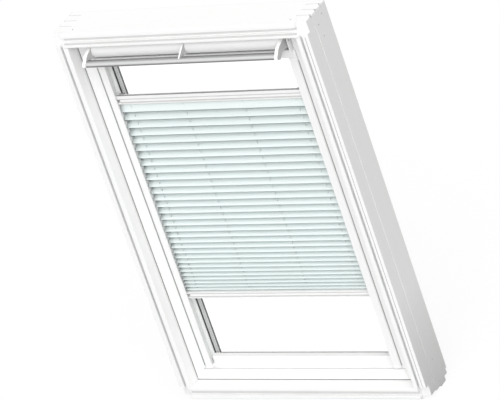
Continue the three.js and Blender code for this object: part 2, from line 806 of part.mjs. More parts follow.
// A convex outline, given anticlockwise, with every edge moved outwards
function grown(corners, slack) {
  return corners.map(([u, v, radius], index) => {
    const before = corners.at(index - 1);
    const after = corners[(index + 1) % corners.length];
    const arriving = new THREE.Vector2(u - before[0], v - before[1]).normalize();
    const leaving = new THREE.Vector2(after[0] - u, after[1] - v).normalize();
    const shift = slack / (1 + arriving.dot(leaving));
    return [
      u + shift * (arriving.y + leaving.y),
      v - shift * (arriving.x + leaving.x),
      radius,
    ];
  });
}

function addFlap() {
  const half = armOuterPlace - armThickness - seam;
  const outer = [];
  const inner = [];
  const turns = arcSteps * 3;
  for (let step = 0; step <= turns; step += 1) {
    const turn = 2 * Math.PI * THREE.MathUtils.lerp(...flapTurnShares, step / turns);
    const arm = new THREE.Vector2(Math.cos(turn), Math.sin(turn));
    outer.push(arm.clone().multiplyScalar(flapRadius).add(flapAxis));
    inner.unshift(arm.multiplyScalar(flapRadius - flapThickness).add(flapAxis));
  }
  addPiece(flap, 'vent_flap', alongX([...outer, ...inner], [-half, half]), whiteLacquer);
}

const flapPlace = [flapAxis.x, flapAxis.y];

function armBlank(shares, range) {
  const corners = shares.map(([reachShare, riseShare, roundShare = 0]) => [
    flapAxis.x - reachShare * barReach,
    flapAxis.y + riseShare * armEyeRadius,
    roundShare * armEyeRadius,
  ]);
  return alongX(rounded(corners), range);
}

function addArms() {
  const barHalf = armOuterPlace - armCheekThickness - seam;
  sides.forEach(([label, side]) => {
    const inner = side * (armOuterPlace - armThickness);
    const outer = side * armOuterPlace;
    const cheek = [outer - side * armCheekThickness, outer];
    const web = [inner, outer - side * armCheekThickness / 2];
    const pin = [outer - side * armThickness / 2, outer + side * flapPinReach];
    const cheekRoom = [inner - side * overrun, outer - side * armCheekThickness];
    const barRoom = alongX(rounded(grown(barOutline(), seam)), cheekRoom);
    const arm = join(
      cut(armBlank(armOutlineShares, web), barRoom),
      armBlank(armOutlineShares, cheek),
      barAlong('x', armEyeRadius, boreSides, [inner, outer], flapPlace),
      barAlong('x', flapPinRadius, boreSides, pin, flapPlace),
    );
    addPiece(flap, `${label}_arm`, arm, whiteLacquer);
  });
  const range = [-middleArmThickness / 2, middleArmThickness / 2];
  const wide = grow(range, overrun);
  const shellRoom = barAlong('x', flapRadius + seam, boreSides * 2, wide, flapPlace);
  const barRoom = alongX(rounded(grown(barOutline(), seam)), wide);
  const middleArm = cut(armBlank(middleArmOutlineShares, range), barRoom, shellRoom);
  addPiece(flap, 'middle_arm', middleArm, whiteLacquer);
  addPiece(flap, 'control_bar', alongX(rounded(barOutline()), [-barHalf, barHalf]), silver);
}

function addFlapBearings() {
  sides.forEach(([label, side]) => {
    const outer = stileWebSide - seam;
    const plateX = [side * (outer - bearingThickness), side * outer];
    const holeX = [side * (outer - bearingThickness - overrun), side * (outer + overrun)];
    const foot = [
      [flapPlace[0] - bearingWidth / 2, railFaceTop + seam],
      [flapPlace[0] + bearingWidth / 2, railFaceTop + seam],
      [flapPlace[0] + bearingWidth / 2, flapAxisHeight + bearingWidth / 2, bearingWidth / 3],
      [flapPlace[0] - bearingWidth / 2, flapAxisHeight + bearingWidth / 2, bearingWidth / 3],
    ];
    const bearing = cut(
      alongX(rounded(foot), plateX),
      barAlong('x', flapPinRadius + seam, boreSides, holeX, flapPlace),
    );
    addPiece(sash, `${label}_flap_bearing`, bearing, greyPlastic);
  });
  const filterX = armOuterPlace - armThickness;
  const upright = sideRailSetback + topRailUprightDepth;
  const filter = block(
    [-filterX, filterX],
    [behind(upright - seam - filterDepth), behind(upright - seam)],
    [railFaceTop + seam, railFaceTop + seam + filterHeight],
  );
  addPiece(sash, 'air_filter', filter, foam);
}

// Blind side rails: a flange on the stile's face and a leg inside it, grooved for the tension cord
function sideRailSection(side, groove) {
  const outer = sideRailInner + sideRailFlangeWidth;
  const legRear = lipFrontSetback - seam;
  return rounded([
    [side * sideRailInner, behind(sideRailSetback), edgeRound / 2],
    [side * outer, behind(sideRailSetback), sideRailRound],
    [side * outer, behind(railSeatSetback - seam)],
    [side * (stileFaceSide - seam), behind(railSeatSetback - seam)],
    [side * (stileFaceSide - seam), behind(legRear)],
    [side * sideRailInner, behind(legRear)],
    ...groove.map(([x, depth]) => [side * x, behind(depth)]),
  ]);
}

function addSideRail(label, side) {
  const grooveFront = cordSetback - cordGrooveWidth / 2;
  const grooveRear = cordSetback + cordGrooveWidth / 2;
  const grooved = sideRailSection(side, [
    [sideRailInner, grooveRear],
    [sideRailInner + cordGrooveDepth, grooveRear],
    [sideRailInner + cordGrooveDepth, grooveFront],
    [sideRailInner, grooveFront],
  ]);
  const closed = sideRailSection(side, []);
  const top = railFaceBottom - seam;
  const lowCap = [sideRailBottom, sideRailBottom + sideRailCapHeight];
  const highCap = [top - sideRailCapHeight, top];
  const run = [lowCap[1] + seam, highCap[0] - seam];
  addPiece(sash, `${label}_side_rail`, alongZ(grooved, run), whiteCoat);
  addPiece(sash, `${label}_bottom_cap`, alongZ(closed, lowCap), whiteCoat);
  addPiece(sash, `${label}_top_cap`, alongZ(closed, highCap), whiteCoat);
  const cordPlace = [side * cordSide, behind(cordSetback)];
  addPiece(sash, `${label}_tension_cord`, barAlong('z', cordRadius, cordSides, run, cordPlace), cordYarn);
}

// Blind rail: a hollow extrusion with two grooves along its face
function blindRail(top, height) {
  const [highTop, highLow, lowTop, lowLow] = blindGrooveShares.map((share) => top - share * height);
  const front = blindRailSetback;
  const shallow = front + blindGrooveDepth / 2;
  const deep = front + blindGrooveDepth;
  const section = rounded([
    [behind(front), top, edgeRound / 2],
    [behind(front), highTop],
    [behind(shallow), highTop],
    [behind(shallow), highLow],
    [behind(front), highLow],
    [behind(front), lowTop],
    [behind(deep), lowTop],
    [behind(deep), lowLow],
    [behind(front), lowLow],
    [behind(front), top - height, edgeRound / 2],
    [behind(front + blindRailDepth), top - height, edgeRound / 2],
    [behind(front + blindRailDepth), top, edgeRound / 2],
  ]);
  const reach = blindRailSide + overrun;
  const hollow = block(
    [-reach, reach],
    [behind(deep + blindRailWall), behind(front + blindRailDepth - blindRailWall)],
    [top - height + blindRailWall, top - blindRailWall],
  );
  const notches = sides.map(([, side]) => block(
    [side * (blindRailSide - shoeNotch), side * reach],
    [behind(0), behind(deep + blindRailWall + seam)],
    [(lowTop + lowLow) / 2, (highTop + highLow) / 2],
  ));
  return cut(alongX(section, [-blindRailSide, blindRailSide]), hollow, ...notches);
}

// End shoe: a plug in the rail's end, whose tongue rides in the side rail's groove round the cord
function endShoe(side, top, height) {
  const plugY = [
    behind(blindRailSetback + blindGrooveDepth + blindRailWall + seam),
    behind(blindRailSetback + blindRailDepth - blindRailWall - seam),
  ];
  const plugZ = [top - height + blindRailWall + seam, top - blindRailWall - seam];
  const plug = block([side * (blindRailSide - shoeInsert), side * (blindRailSide - seam)], plugY, plugZ);
  const middle = top - height / 2;
  const tongueY = [behind(cordSetback - tongueWidth / 2), behind(cordSetback + tongueWidth / 2)];
  const tongueX = [side * (blindRailSide - shoeInsert), side * (sideRailInner + cordGrooveDepth - seam)];
  const tongueZ = [middle - tongueHeight / 2, middle + tongueHeight / 2];
  const tongue = block(tongueX, tongueY, tongueZ);
  const cordPlace = [side * cordSide, behind(cordSetback)];
  const boreRun = [top - height - overrun, top + overrun];
  return cut(join(plug, tongue), barAlong('z', cordRadius + seam, cordSides, boreRun, cordPlace));
}

function addBlind() {
  addPiece(blindTop, 'blind_top_rail', blindRail(topRailTopLine, topRailHeight), whiteCoat);
  addPiece(blindBottom, 'blind_bottom_rail', blindRail(bottomRailTopLine, bottomRailHeight), whiteCoat);
  sides.forEach(([label, side]) => {
    const topShoe = endShoe(side, topRailTopLine, topRailHeight);
    const bottomShoe = endShoe(side, bottomRailTopLine, bottomRailHeight);
    addPiece(blindTop, `${label}_top_shoe`, topShoe, greyPlastic);
    addPiece(blindBottom, `${label}_bottom_shoe`, bottomShoe, greyPlastic);
  });
}

// Cloth: one zigzag from rail to rail, its pleats wider at the top where the cloth's weight
// draws them open
function addCloth() {
  const drop = clothTop - clothBottom;
  const halfPleats = pleatCount * 2;
  const place = (index) => {
    const share = index / halfPleats;
    return clothTop - drop * (share + pleatTaperShare * share * (1 - share));
  };
  const frontFace = [];
  const rearFace = [];
  for (let index = 0; index <= halfPleats; index += 1) {
    const crest = index % 2 === 0 ? clothRearSetback : clothFrontSetback;
    const end = index === 0 || index === halfPleats;
    const depth = end ? (clothRearSetback + clothFrontSetback) / 2 : crest;
    frontFace.push(new THREE.Vector2(behind(depth - clothThickness / 2), place(index)));
    rearFace.unshift(new THREE.Vector2(behind(depth + clothThickness / 2), place(index)));
  }
  const side = blindRailSide - clothSideGap;
  addPiece(blindTop, 'pleated_cloth', alongX([...frontFace, ...rearFace], [-side, side]), cloth);
}

addHead();
addSill();
sides.forEach(([label, side]) => {
  addJamb(label, side);
  addFrameHinge(label, side);
  addStile(label, side);
  addSashHinge(label, side);
  addSideRail(label, side);
});
addStriker();
addFrameCovers();
addBottomRail();
addTopRail();
addLock();
addGlazing();
addSashCovers();
addFlap();
addArms();
addFlapBearings();
addBlind();
addCloth();

export default skylight;
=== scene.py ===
import json
import math
import random

import bpy
import bmesh
from mathutils import Matrix, Vector


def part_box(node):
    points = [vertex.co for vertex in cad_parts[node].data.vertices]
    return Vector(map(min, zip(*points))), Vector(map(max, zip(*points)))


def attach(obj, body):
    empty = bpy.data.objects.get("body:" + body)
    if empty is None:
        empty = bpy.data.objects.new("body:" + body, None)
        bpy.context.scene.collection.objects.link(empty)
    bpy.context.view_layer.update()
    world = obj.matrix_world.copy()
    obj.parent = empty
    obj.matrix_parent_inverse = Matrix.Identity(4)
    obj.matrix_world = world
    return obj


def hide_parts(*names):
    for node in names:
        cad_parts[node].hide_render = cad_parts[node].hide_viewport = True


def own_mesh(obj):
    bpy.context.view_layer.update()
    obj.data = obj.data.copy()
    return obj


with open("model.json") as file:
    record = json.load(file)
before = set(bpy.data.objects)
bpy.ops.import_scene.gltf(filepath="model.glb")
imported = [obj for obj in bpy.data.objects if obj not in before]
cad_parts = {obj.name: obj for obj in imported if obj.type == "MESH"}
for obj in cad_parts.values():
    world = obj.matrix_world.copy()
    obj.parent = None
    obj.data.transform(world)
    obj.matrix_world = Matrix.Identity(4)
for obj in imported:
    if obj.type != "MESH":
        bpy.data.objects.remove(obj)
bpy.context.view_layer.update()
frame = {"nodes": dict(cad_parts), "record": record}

nodes = frame["nodes"]
slotOf = {part["node"]: part["material_slot"] for part in frame["record"]["subparts"]}
bodyOf = {node: body for body, members in frame["record"]["behaviour"]["bodies"].items() for node in members}
mm = 0.001
print("frame loaded:", len(nodes), "nodes")


# Helpers for objects and for node trees
def addObject(name, data):
    made = bpy.data.objects.new(name, data)
    bpy.context.scene.collection.objects.link(made)
    return made


def setInput(tree, socket, value):
    # Another node's output is linked, anything else is a constant; a colour of three gets its alpha
    if isinstance(value, bpy.types.NodeSocket):
        tree.links.new(value, socket)
    elif socket.type == "RGBA":
        socket.default_value = (*value, 1)
    else:
        socket.default_value = value


def setInputs(tree, node, inputs):
    for label, value in inputs.items():
        setInput(tree, node.inputs[label], value)


def addNode(tree, kind, inputs, **settings):
    node = tree.nodes.new(kind)
    for label, value in settings.items():
        setattr(node, label, value)
    setInputs(tree, node, inputs)
    return node


def mathNode(tree, operation, *values):
    return addNode(tree, "ShaderNodeMath", dict(enumerate(values)), operation=operation).outputs[0]


def noiseNode(tree, vector, scale, detail, roughness=0.55):
    noise = {"Vector": vector, "Scale": scale, "Detail": detail, "Roughness": roughness}
    return addNode(tree, "ShaderNodeTexNoise", noise).outputs["Fac"]


def mixColour(tree, factor, first, second):
    return addNode(tree, "ShaderNodeMix", {0: factor, 6: first, 7: second}, data_type="RGBA").outputs[2]


def splitVector(tree, vector):
    return addNode(tree, "ShaderNodeSeparateXYZ", {0: vector}).outputs


def clamped(tree, value):
    return mathNode(tree, "MINIMUM", mathNode(tree, "MAXIMUM", value, 0.0), 1.0)


# Camera at the photograph's angle
cameraView = {
    "place": (6.1664, -8.608, 6.0047),
    "right": (0.85473, 0.42748, -0.29443),
    "up": (0.01926, 0.54072, 0.84098),
    "focalPixels": 4452.4,
    "imageWidth": 500,
    "sensorWidth": 36.0,
    "farClip": 100.0,
}


def addCamera(view):
    data = bpy.data.cameras.new("photoCamera")
    data.sensor_fit = "HORIZONTAL"
    data.sensor_width = view["sensorWidth"]
    data.lens = view["focalPixels"] / view["imageWidth"] * view["sensorWidth"]
    data.clip_end = view["farClip"]
    camera = addObject("photoCamera", data)
    right = Vector(view["right"]).normalized()
    up = Vector(view["up"])
    up = (up - right * up.dot(right)).normalized()
    turn = Matrix((right, up, right.cross(up))).transposed().to_4x4()
    camera.matrix_world = Matrix.Translation(view["place"]) @ turn
    bpy.context.scene.camera = camera


addCamera(cameraView)


# Plain studio light: a white room, brighter in front and above, and one broad soft lamp
studio = {
    "roomLevel": 0.56,
    "roomLean": 0.5,
    "roomLeast": 0.12,
    "roomFrom": (0.18, -0.48, 0.86),
    "sunFrom": (0.42, -0.68, 0.6),
    "sunPower": 1.75,
    "sunSpread": 60.0,
    "seenLevel": 1.0,
    "floorSize": 30.0,
    "floorColour": (0.5, 0.5, 0.5),
    "floorShadowShare": 0.22,
    "floorGlow": 1.13,
    "floorGlowThroughGlass": 0.17,
}


def seenDirectly(tree):
    # One where the camera sees the surface, straight or through glass
    path = addNode(tree, "ShaderNodeLightPath", {}).outputs
    return mathNode(tree, "MAXIMUM", path["Is Camera Ray"], path["Is Transmission Ray"])


def addLight(values):
    data = bpy.data.lights.new("softSun", "SUN")
    data.energy = values["sunPower"]
    data.angle = math.radians(values["sunSpread"])
    sun = addObject("softSun", data)
    sun.rotation_euler = Vector(values["sunFrom"]).to_track_quat("Z", "Y").to_euler()
    world = bpy.data.worlds.new("studioWorld")
    bpy.context.scene.world = world
    world.use_nodes = True
    tree = world.node_tree
    toward = addNode(tree, "ShaderNodeTexCoord", {}).outputs["Generated"]
    lean = addNode(tree, "ShaderNodeVectorMath", {0: toward, 1: values["roomFrom"]}, operation="DOT_PRODUCT")
    room = mathNode(tree, "MULTIPLY_ADD", lean.outputs["Value"], values["roomLean"], values["roomLevel"])
    room = mathNode(tree, "MAXIMUM", room, values["roomLeast"])
    level = addNode(tree, "ShaderNodeMix", {"A": room, "B": values["seenLevel"], "Factor": seenDirectly(tree)})
    setInputs(tree, tree.nodes["Background"], {"Color": (1, 1, 1), "Strength": level.outputs["Result"]})


def addFloor(values):
    half = values["floorSize"] / 2
    mesh = bpy.data.meshes.new("studioFloor")
    corners = [(-half, -half, 0), (half, -half, 0), (half, half, 0), (-half, half, 0)]
    mesh.from_pydata(corners, [], [(0, 1, 2, 3)])
    floor = addObject("studioFloor", mesh)
    material = bpy.data.materials.new("floorPaper")
    material.use_nodes = True
    tree = material.node_tree
    tree.nodes.clear()
    glassRay = addNode(tree, "ShaderNodeLightPath", {}).outputs["Is Transmission Ray"]
    strength = mathNode(tree, "MULTIPLY_ADD", glassRay, values["floorGlowThroughGlass"], values["floorGlow"])
    glow = addNode(tree, "ShaderNodeEmission", {"Strength": strength})
    diffuse = addNode(tree, "ShaderNodeBsdfDiffuse", {"Color": values["floorColour"]})
    share = mathNode(tree, "MULTIPLY", seenDirectly(tree), 1 - values["floorShadowShare"])
    blend = addNode(tree, "ShaderNodeMixShader", {0: share, 1: diffuse.outputs[0], 2: glow.outputs[0]})
    addNode(tree, "ShaderNodeOutputMaterial", {"Surface": blend.outputs[0]})
    mesh.materials.append(material)


addLight(studio)
addFloor(studio)
bpy.context.scene.view_settings.view_transform = "Standard"
print("studio ready")


# Shader groups that several finishes share
def newGroup(name, inputs, outputs):
    # Each starts with a Vector; a tuple gives a colour input, a number a plain one
    group = bpy.data.node_groups.new(name, "ShaderNodeTree")
    group.interface.new_socket(name="Vector", in_out="INPUT", socket_type="NodeSocketVector")
    for label, value in inputs.items():
        coloured = isinstance(value, tuple)
        kind = "NodeSocketColor" if coloured else "NodeSocketFloat"
        socket = group.interface.new_socket(name=label, in_out="INPUT", socket_type=kind)
        socket.default_value = (*value, 1) if coloured else value
    for label in outputs:
        kind = "NodeSocketColor" if label == "Colour" else "NodeSocketFloat"
        group.interface.new_socket(name=label, in_out="OUTPUT", socket_type=kind)
    return group, group.nodes.new("NodeGroupInput").outputs, group.nodes.new("NodeGroupOutput")


paleGrey, black = (0.8, 0.8, 0.8), (0.0, 0.0, 0.0)
noiseMiddle = 0.5


def buildGrain():
    # Fine grain or peel: a tone, a roughness and a height that vary over the surface
    group, given, result = newGroup("surfaceGrain", {
        "Colour": paleGrey, "Tone Spread": 0.03, "Fine Scale": 500.0, "Broad Scale": 6.0, "Roughness": 0.4,
        "Roughness Spread": 0.1,
    }, ["Colour", "Roughness", "Height"])
    fine = noiseNode(group, given["Vector"], given["Fine Scale"], detail=5.0)
    broad = noiseNode(group, given["Vector"], given["Broad Scale"], detail=3.0)
    both = mathNode(group, "MULTIPLY", mathNode(group, "ADD", fine, broad), given["Tone Spread"])
    centred = mathNode(group, "SUBTRACT", broad, noiseMiddle)
    shift = mathNode(group, "MULTIPLY", centred, given["Roughness Spread"])
    setInputs(group, result, {
        "Colour": mixColour(group, both, given["Colour"], black),
        "Roughness": mathNode(group, "ADD", given["Roughness"], shift),
        "Height": fine,
    })
    return group


def buildDust():
    # A little pale dust that lies on upward faces and in patches
    group, given, result = newGroup("restingDust", {
        "Colour": paleGrey, "Dust Colour": (0.6, 0.6, 0.58), "Dust": 0.1, "Patch Scale": 30.0,
    }, ["Colour"])
    normal = addNode(group, "ShaderNodeNewGeometry", {}).outputs["True Normal"]
    upward = mathNode(group, "MAXIMUM", splitVector(group, normal)["Z"], 0.0)
    patches = noiseNode(group, given["Vector"], given["Patch Scale"], detail=6.0, roughness=0.65)
    mask = mathNode(group, "MULTIPLY", mathNode(group, "MULTIPLY", upward, patches), given["Dust"])
    setInputs(group, result, {"Colour": mixColour(group, mask, given["Colour"], given["Dust Colour"])})
    return group


def buildWeave():
    # A plain weave on the piece's own UV map, in metres of cloth
    group, given, result = newGroup("plainWeave", {
        "Colour": paleGrey, "Shade Colour": (0.7, 0.7, 0.7), "Threads Per Metre": 2500.0, "Contrast": 0.3,
        "Slub Scale": 900.0, "Roughness": 0.78, "Roughness Spread": 0.15,
    }, ["Colour", "Roughness", "Height"])
    place = splitVector(group, given["Vector"])
    turns = mathNode(group, "MULTIPLY", given["Threads Per Metre"], math.pi)
    warp, weft = [mathNode(group, "SINE", mathNode(group, "MULTIPLY", place[axis], turns)) for axis in "XY"]
    height = mathNode(group, "MULTIPLY_ADD", mathNode(group, "MULTIPLY", warp, weft), 0.5, 0.5)
    slub = noiseNode(group, given["Vector"], given["Slub Scale"], detail=3.0)
    shade = mathNode(group, "MULTIPLY", mathNode(group, "ADD", height, slub), given["Contrast"])
    setInputs(group, result, {
        "Colour": mixColour(group, shade, given["Colour"], given["Shade Colour"]),
        "Roughness": mathNode(group, "MULTIPLY_ADD", slub, given["Roughness Spread"], given["Roughness"]),
        "Height": height,
    })
    return group


def buildPaintedFrameSideShade():
    # Painted shade: the frame's outer faces, past its half width, are coloured darker where less light falls on
    # them, and darker still toward the foot
    group, given, result = newGroup("outerShade", {
        "Colour": paleGrey, "Outer Colour": (0.7, 0.7, 0.7), "Foot Colour": (0.5, 0.5, 0.5),
        "Half Width": 0.388, "Foot Height": 0.3,
    }, ["Colour"])
    place = splitVector(group, given["Vector"])
    outer = mathNode(group, "GREATER_THAN", mathNode(group, "ABSOLUTE", place["X"]), given["Half Width"])
    fall = mathNode(group, "DIVIDE", place["Z"], given["Foot Height"])
    low = mathNode(group, "MAXIMUM", mathNode(group, "SUBTRACT", 1.0, fall), 0.0)
    shadedSideColour = mixColour(group, low, given["Outer Colour"], given["Foot Colour"])
    setInputs(group, result, {"Colour": mixColour(group, outer, given["Colour"], shadedSideColour)})
    return group


def buildPaintedBarReflection():
    # The control bar's satin face with painted reflection and shade: a painted dark reflection at the rear
    # edge, a painted highlight at the nose, painted shade below it
    group, given, result = newGroup("acrossShade", {
        "Colour": (0.7, 0.7, 0.7), "Rear Colour": (0.3, 0.3, 0.3), "Chin Colour": (0.2, 0.2, 0.2),
        "Nose": -0.092, "Nose Depth": 0.02, "Chin Top": 1.102, "Chin Fade": 0.005,
    }, ["Colour"])
    place = splitVector(group, given["Vector"])
    fromNose = mathNode(group, "SUBTRACT", place["Y"], given["Nose"])
    back = clamped(group, mathNode(group, "DIVIDE", fromNose, given["Nose Depth"]))
    fromChin = mathNode(group, "SUBTRACT", given["Chin Top"], place["Z"])
    below = clamped(group, mathNode(group, "DIVIDE", fromChin, given["Chin Fade"]))
    top = mixColour(group, back, given["Colour"], given["Rear Colour"])
    setInputs(group, result, {"Colour": mixColour(group, below, top, given["Chin Colour"])})
    return group


grainGroup = buildGrain()
dustGroup = buildDust()
weaveGroup = buildWeave()
# Painted shade on the frame's outer faces and foot; painted reflection and shade on the control bar
shadeGroups = {"outerColour": buildPaintedFrameSideShade(), "rearColour": buildPaintedBarReflection()}


def newMaterial(name):
    material = bpy.data.materials.new(name)
    material.use_nodes = True
    return material, material.node_tree, material.node_tree.nodes["Principled BSDF"]


def plainLabel(key):
    # toneSpread is the input Tone Spread
    return "".join(" " + letter if letter.isupper() else letter for letter in key).title()


def placeGroup(tree, group, look):
    # The look's values and sockets go to the inputs that bear their names
    node = addNode(tree, "ShaderNodeGroup", {}, node_tree=group)
    for key, value in look.items():
        if plainLabel(key) in node.inputs:
            setInput(tree, node.inputs[plainLabel(key)], value)
    return node.outputs


def pieceCoordinates(tree, stretch=(1, 1, 1), source="Object"):
    coordinates = addNode(tree, "ShaderNodeTexCoord", {}).outputs[source]
    return addNode(tree, "ShaderNodeMapping", {"Scale": stretch, "Vector": coordinates}).outputs["Vector"]


def addBump(tree, shader, height, look):
    bump = {"Distance": look["bumpDistance"], "Strength": look["bumpStrength"], "Height": height}
    setInput(tree, shader.inputs["Normal"], addNode(tree, "ShaderNodeBump", bump).outputs["Normal"])


def grainMaterial(name, ownLook):
    # Any hard finish: grain for tone, roughness and bump, then a trace of dust
    material, tree, shader = newMaterial(name)
    look = {**plainLook, **ownLook}
    # Painted shade and painted reflection come first, where the look names them
    for key, group in shadeGroups.items():
        if key in look:
            look["colour"] = placeGroup(tree, group, {**look, "vector": pieceCoordinates(tree)})["Colour"]
    look["vector"] = pieceCoordinates(tree, look["stretch"])
    grain = placeGroup(tree, grainGroup, look)
    dust = placeGroup(tree, dustGroup, {**look, "colour": grain["Colour"]})
    setInputs(tree, shader, {
        "Base Color": dust["Colour"],
        "Roughness": grain["Roughness"],
        "Metallic": look["metallic"],
        "Specular IOR Level": look["specular"],
    })
    addBump(tree, shader, grain["Height"], look)
    return material


# What a finish doesn't state for itself
plainLook = {
    "stretch": (1, 1, 1), "metallic": 0.0, "specular": 0.5, "roughnessSpread": 0.1, "bumpDistance": 0.1 * mm,
    "bumpStrength": 0.3, "dust": 0.05, "dustColour": (0.62, 0.61, 0.58),
}
lacquer = {
    "colour": (0.88, 0.883, 0.877), "toneSpread": 0.006, "fineScale": 420.0, "roughness": 0.42,
    "roughnessSpread": 0.12, "bumpStrength": 0.05, "specular": 0.3,
    # Painted shade: the outer faces and the foot take darker colours
    "outerColour": (0.73, 0.732, 0.727), "footColour": (0.52, 0.522, 0.517), "halfWidth": 388.2 * mm,
    "footHeight": 320 * mm,
}
# Grey finishes that paint the shade in grooves, at steps and in gaps
liner = {"fineScale": 1500.0, "roughness": 0.6, "bumpStrength": 0.15}
finishLooks = {
    "lacquerUpright": {**lacquer, "stretch": (1, 1, 0.04)},
    "lacquerAcross": {**lacquer, "stretch": (0.04, 1, 1)},
    "grooveLiner": {**liner, "colour": (0.745, 0.747, 0.743), "toneSpread": 0.01},
    "stepLiner": {**liner, "colour": (0.5, 0.5, 0.497), "toneSpread": 0.02},
    "sillLiner": {**liner, "colour": (0.7, 0.702, 0.698), "toneSpread": 0.01},
    "quirkLiner": {**liner, "colour": (0.62, 0.62, 0.617), "toneSpread": 0.02},
    # Painted reflection and shade on the control bar: its colour runs from a dark rear to a bright nose and a
    # dark chin
    "barSatin": {
        "colour": (0.7, 0.702, 0.702), "rearColour": (0.08, 0.082, 0.082), "chinColour": (0.22, 0.22, 0.22),
        "nose": -92.5 * mm, "noseDepth": 19.5 * mm, "chinTop": 1098.2 * mm, "chinFade": 4.5 * mm,
        "toneSpread": 0.03, "fineScale": 2600.0, "metallic": 0.3, "roughness": 0.42, "roughnessSpread": 0.06,
        "bumpDistance": 0.03 * mm, "bumpStrength": 0.1,
    },
    "whiteCoat": {
        "colour": (0.88, 0.882, 0.878), "toneSpread": 0.006, "fineScale": 1500.0, "roughness": 0.34,
        "bumpDistance": 0.05 * mm, "bumpStrength": 0.1, "specular": 0.35,
    },
    "whitePlastic": {
        "colour": (0.9, 0.902, 0.897), "toneSpread": 0.008, "fineScale": 2600.0, "roughness": 0.36,
        "roughnessSpread": 0.08, "bumpDistance": 0.05 * mm, "bumpStrength": 0.15, "specular": 0.4,
    },
    "steel": {
        "colour": (0.6, 0.61, 0.62), "toneSpread": 0.06, "fineScale": 1800.0, "stretch": (0.03, 1, 1),
        "metallic": 1.0, "roughness": 0.33, "roughnessSpread": 0.2, "bumpDistance": 0.06 * mm,
    },
    "greyCoat": {
        "colour": (0.115, 0.12, 0.125), "toneSpread": 0.1, "fineScale": 1300.0, "roughness": 0.48,
        "roughnessSpread": 0.2, "dust": 0.2,
    },
    "spacer": {
        "colour": (0.93, 0.935, 0.935), "toneSpread": 0.02, "fineScale": 900.0, "roughness": 0.5,
        "roughnessSpread": 0.2,
    },
    "rubber": {
        "colour": (0.045, 0.046, 0.048), "toneSpread": 0.2, "fineScale": 1100.0, "roughness": 0.72,
        "roughnessSpread": 0.2, "bumpDistance": 0.2 * mm, "dust": 0.15,
    },
    "greyPlastic": {
        "colour": (0.3, 0.305, 0.31), "toneSpread": 0.06, "fineScale": 2400.0, "roughness": 0.48,
        "roughnessSpread": 0.15,
    },
    # Painted shade on the top rail's top
    "railInset": {"colour": (0.4, 0.4, 0.4), "toneSpread": 0.08, "fineScale": 2600.0, "roughness": 0.7},
    # Painted shade: grey for the strips in the gaps beside the side rails and between frame and sash
    "railSeam": {
        "colour": (0.38, 0.38, 0.378), "toneSpread": 0.05, "fineScale": 1400.0, "roughness": 0.7,
        "bumpStrength": 0.2,
    },
    # Painted shade: dark grey for the strip in the gap under the sash
    "seamGrey": {"colour": (0.16, 0.16, 0.16), "toneSpread": 0.15, "fineScale": 1400.0, "roughness": 0.75},
    # Painted shade on the arms' side faces
    "armGrey": {
        "colour": (0.5, 0.5, 0.497), "toneSpread": 0.03, "fineScale": 2400.0, "roughness": 0.5,
        "bumpDistance": 0.06 * mm, "bumpStrength": 0.2,
    },
    "nailHead": {
        "colour": (0.5, 0.5, 0.49), "toneSpread": 0.1, "fineScale": 1800.0, "roughness": 0.5,
        "roughnessSpread": 0.2,
    },
    "foam": {
        "colour": (0.25, 0.255, 0.26), "toneSpread": 0.4, "fineScale": 700.0, "roughness": 0.95,
        "roughnessSpread": 0.05, "bumpDistance": 0.8 * mm, "bumpStrength": 0.8,
    },
}
clothLooks = {
    "cloth": {
        # The third colour is painted shade for the folds and the cords
        "colour": (0.785, 0.85, 0.843), "shadeColour": (0.7, 0.768, 0.76), "valleyColour": (0.34, 0.4, 0.394),
        "threadsPerMetre": 2200.0, "contrast": 0.16, "bumpDistance": 0.12 * mm, "bumpStrength": 0.35,
    },
    "cord": {
        "colour": (0.72, 0.77, 0.765), "shadeColour": (0.5, 0.55, 0.545),
        "threadsPerMetre": 1600.0, "contrast": 0.5, "bumpDistance": 0.2 * mm, "bumpStrength": 0.5,
    },
}
clothSheen = {"Sheen Weight": 0.15, "Sheen Roughness": 0.6, "Specular IOR Level": 0.2}
glassLook = {
    "colour": (0.999, 1.0, 0.9995), "toneSpread": 0.0005, "fineScale": 60.0, "roughness": 0.0,
    "roughnessSpread": 0.01,
}
glassBending = {"Transmission Weight": 1.0, "IOR": 1.3}


def clothMaterial(name, look):
    # Woven cloth or cord; the cloth darkens by a per-vertex attribute, painted shade in its folds and at its
    # cords
    material, tree, shader = newMaterial(name)
    weave = placeGroup(tree, weaveGroup, {**look, "vector": pieceCoordinates(tree, source="UV")})
    colour = weave["Colour"]
    if "valleyColour" in look:
        fold = addNode(tree, "ShaderNodeAttribute", {}, attribute_name="valleyShare").outputs["Fac"]
        colour = mixColour(tree, fold, colour, look["valleyColour"])
    setInputs(tree, shader, {"Base Color": colour, "Roughness": weave["Roughness"], **clothSheen})
    addBump(tree, shader, weave["Height"], look)
    return material


def glassMaterial(name, look):
    material, tree, shader = newMaterial(name)
    grain = placeGroup(tree, grainGroup, {**look, "vector": pieceCoordinates(tree)})
    setInputs(tree, shader, {"Base Color": grain["Colour"], "Roughness": grain["Roughness"], **glassBending})
    return material


finishes = {name: grainMaterial(name, look) for name, look in finishLooks.items()}
finishes.update({name: clothMaterial(name, look) for name, look in clothLooks.items()})
finishes["glass"] = glassMaterial("clearGlass", glassLook)
ownFinish = {
    "control_bar": "barSatin", "left_flap_bearing": "whitePlastic", "right_flap_bearing": "whitePlastic",
}
armNodes = ["left_arm", "middle_arm", "right_arm"]


def camelName(words):
    # The maker's name for a node or a slot: frame_head is frameHead
    first, *others = words.split("_")
    return first + "".join(word.capitalize() for word in others)


def finishFor(node):
    if slotOf[node] == "white_lacquer":
        return finishes["lacquerUpright" if node.endswith(("jamb", "stile")) else "lacquerAcross"]
    return finishes[ownFinish.get(node, camelName(slotOf[node]))]


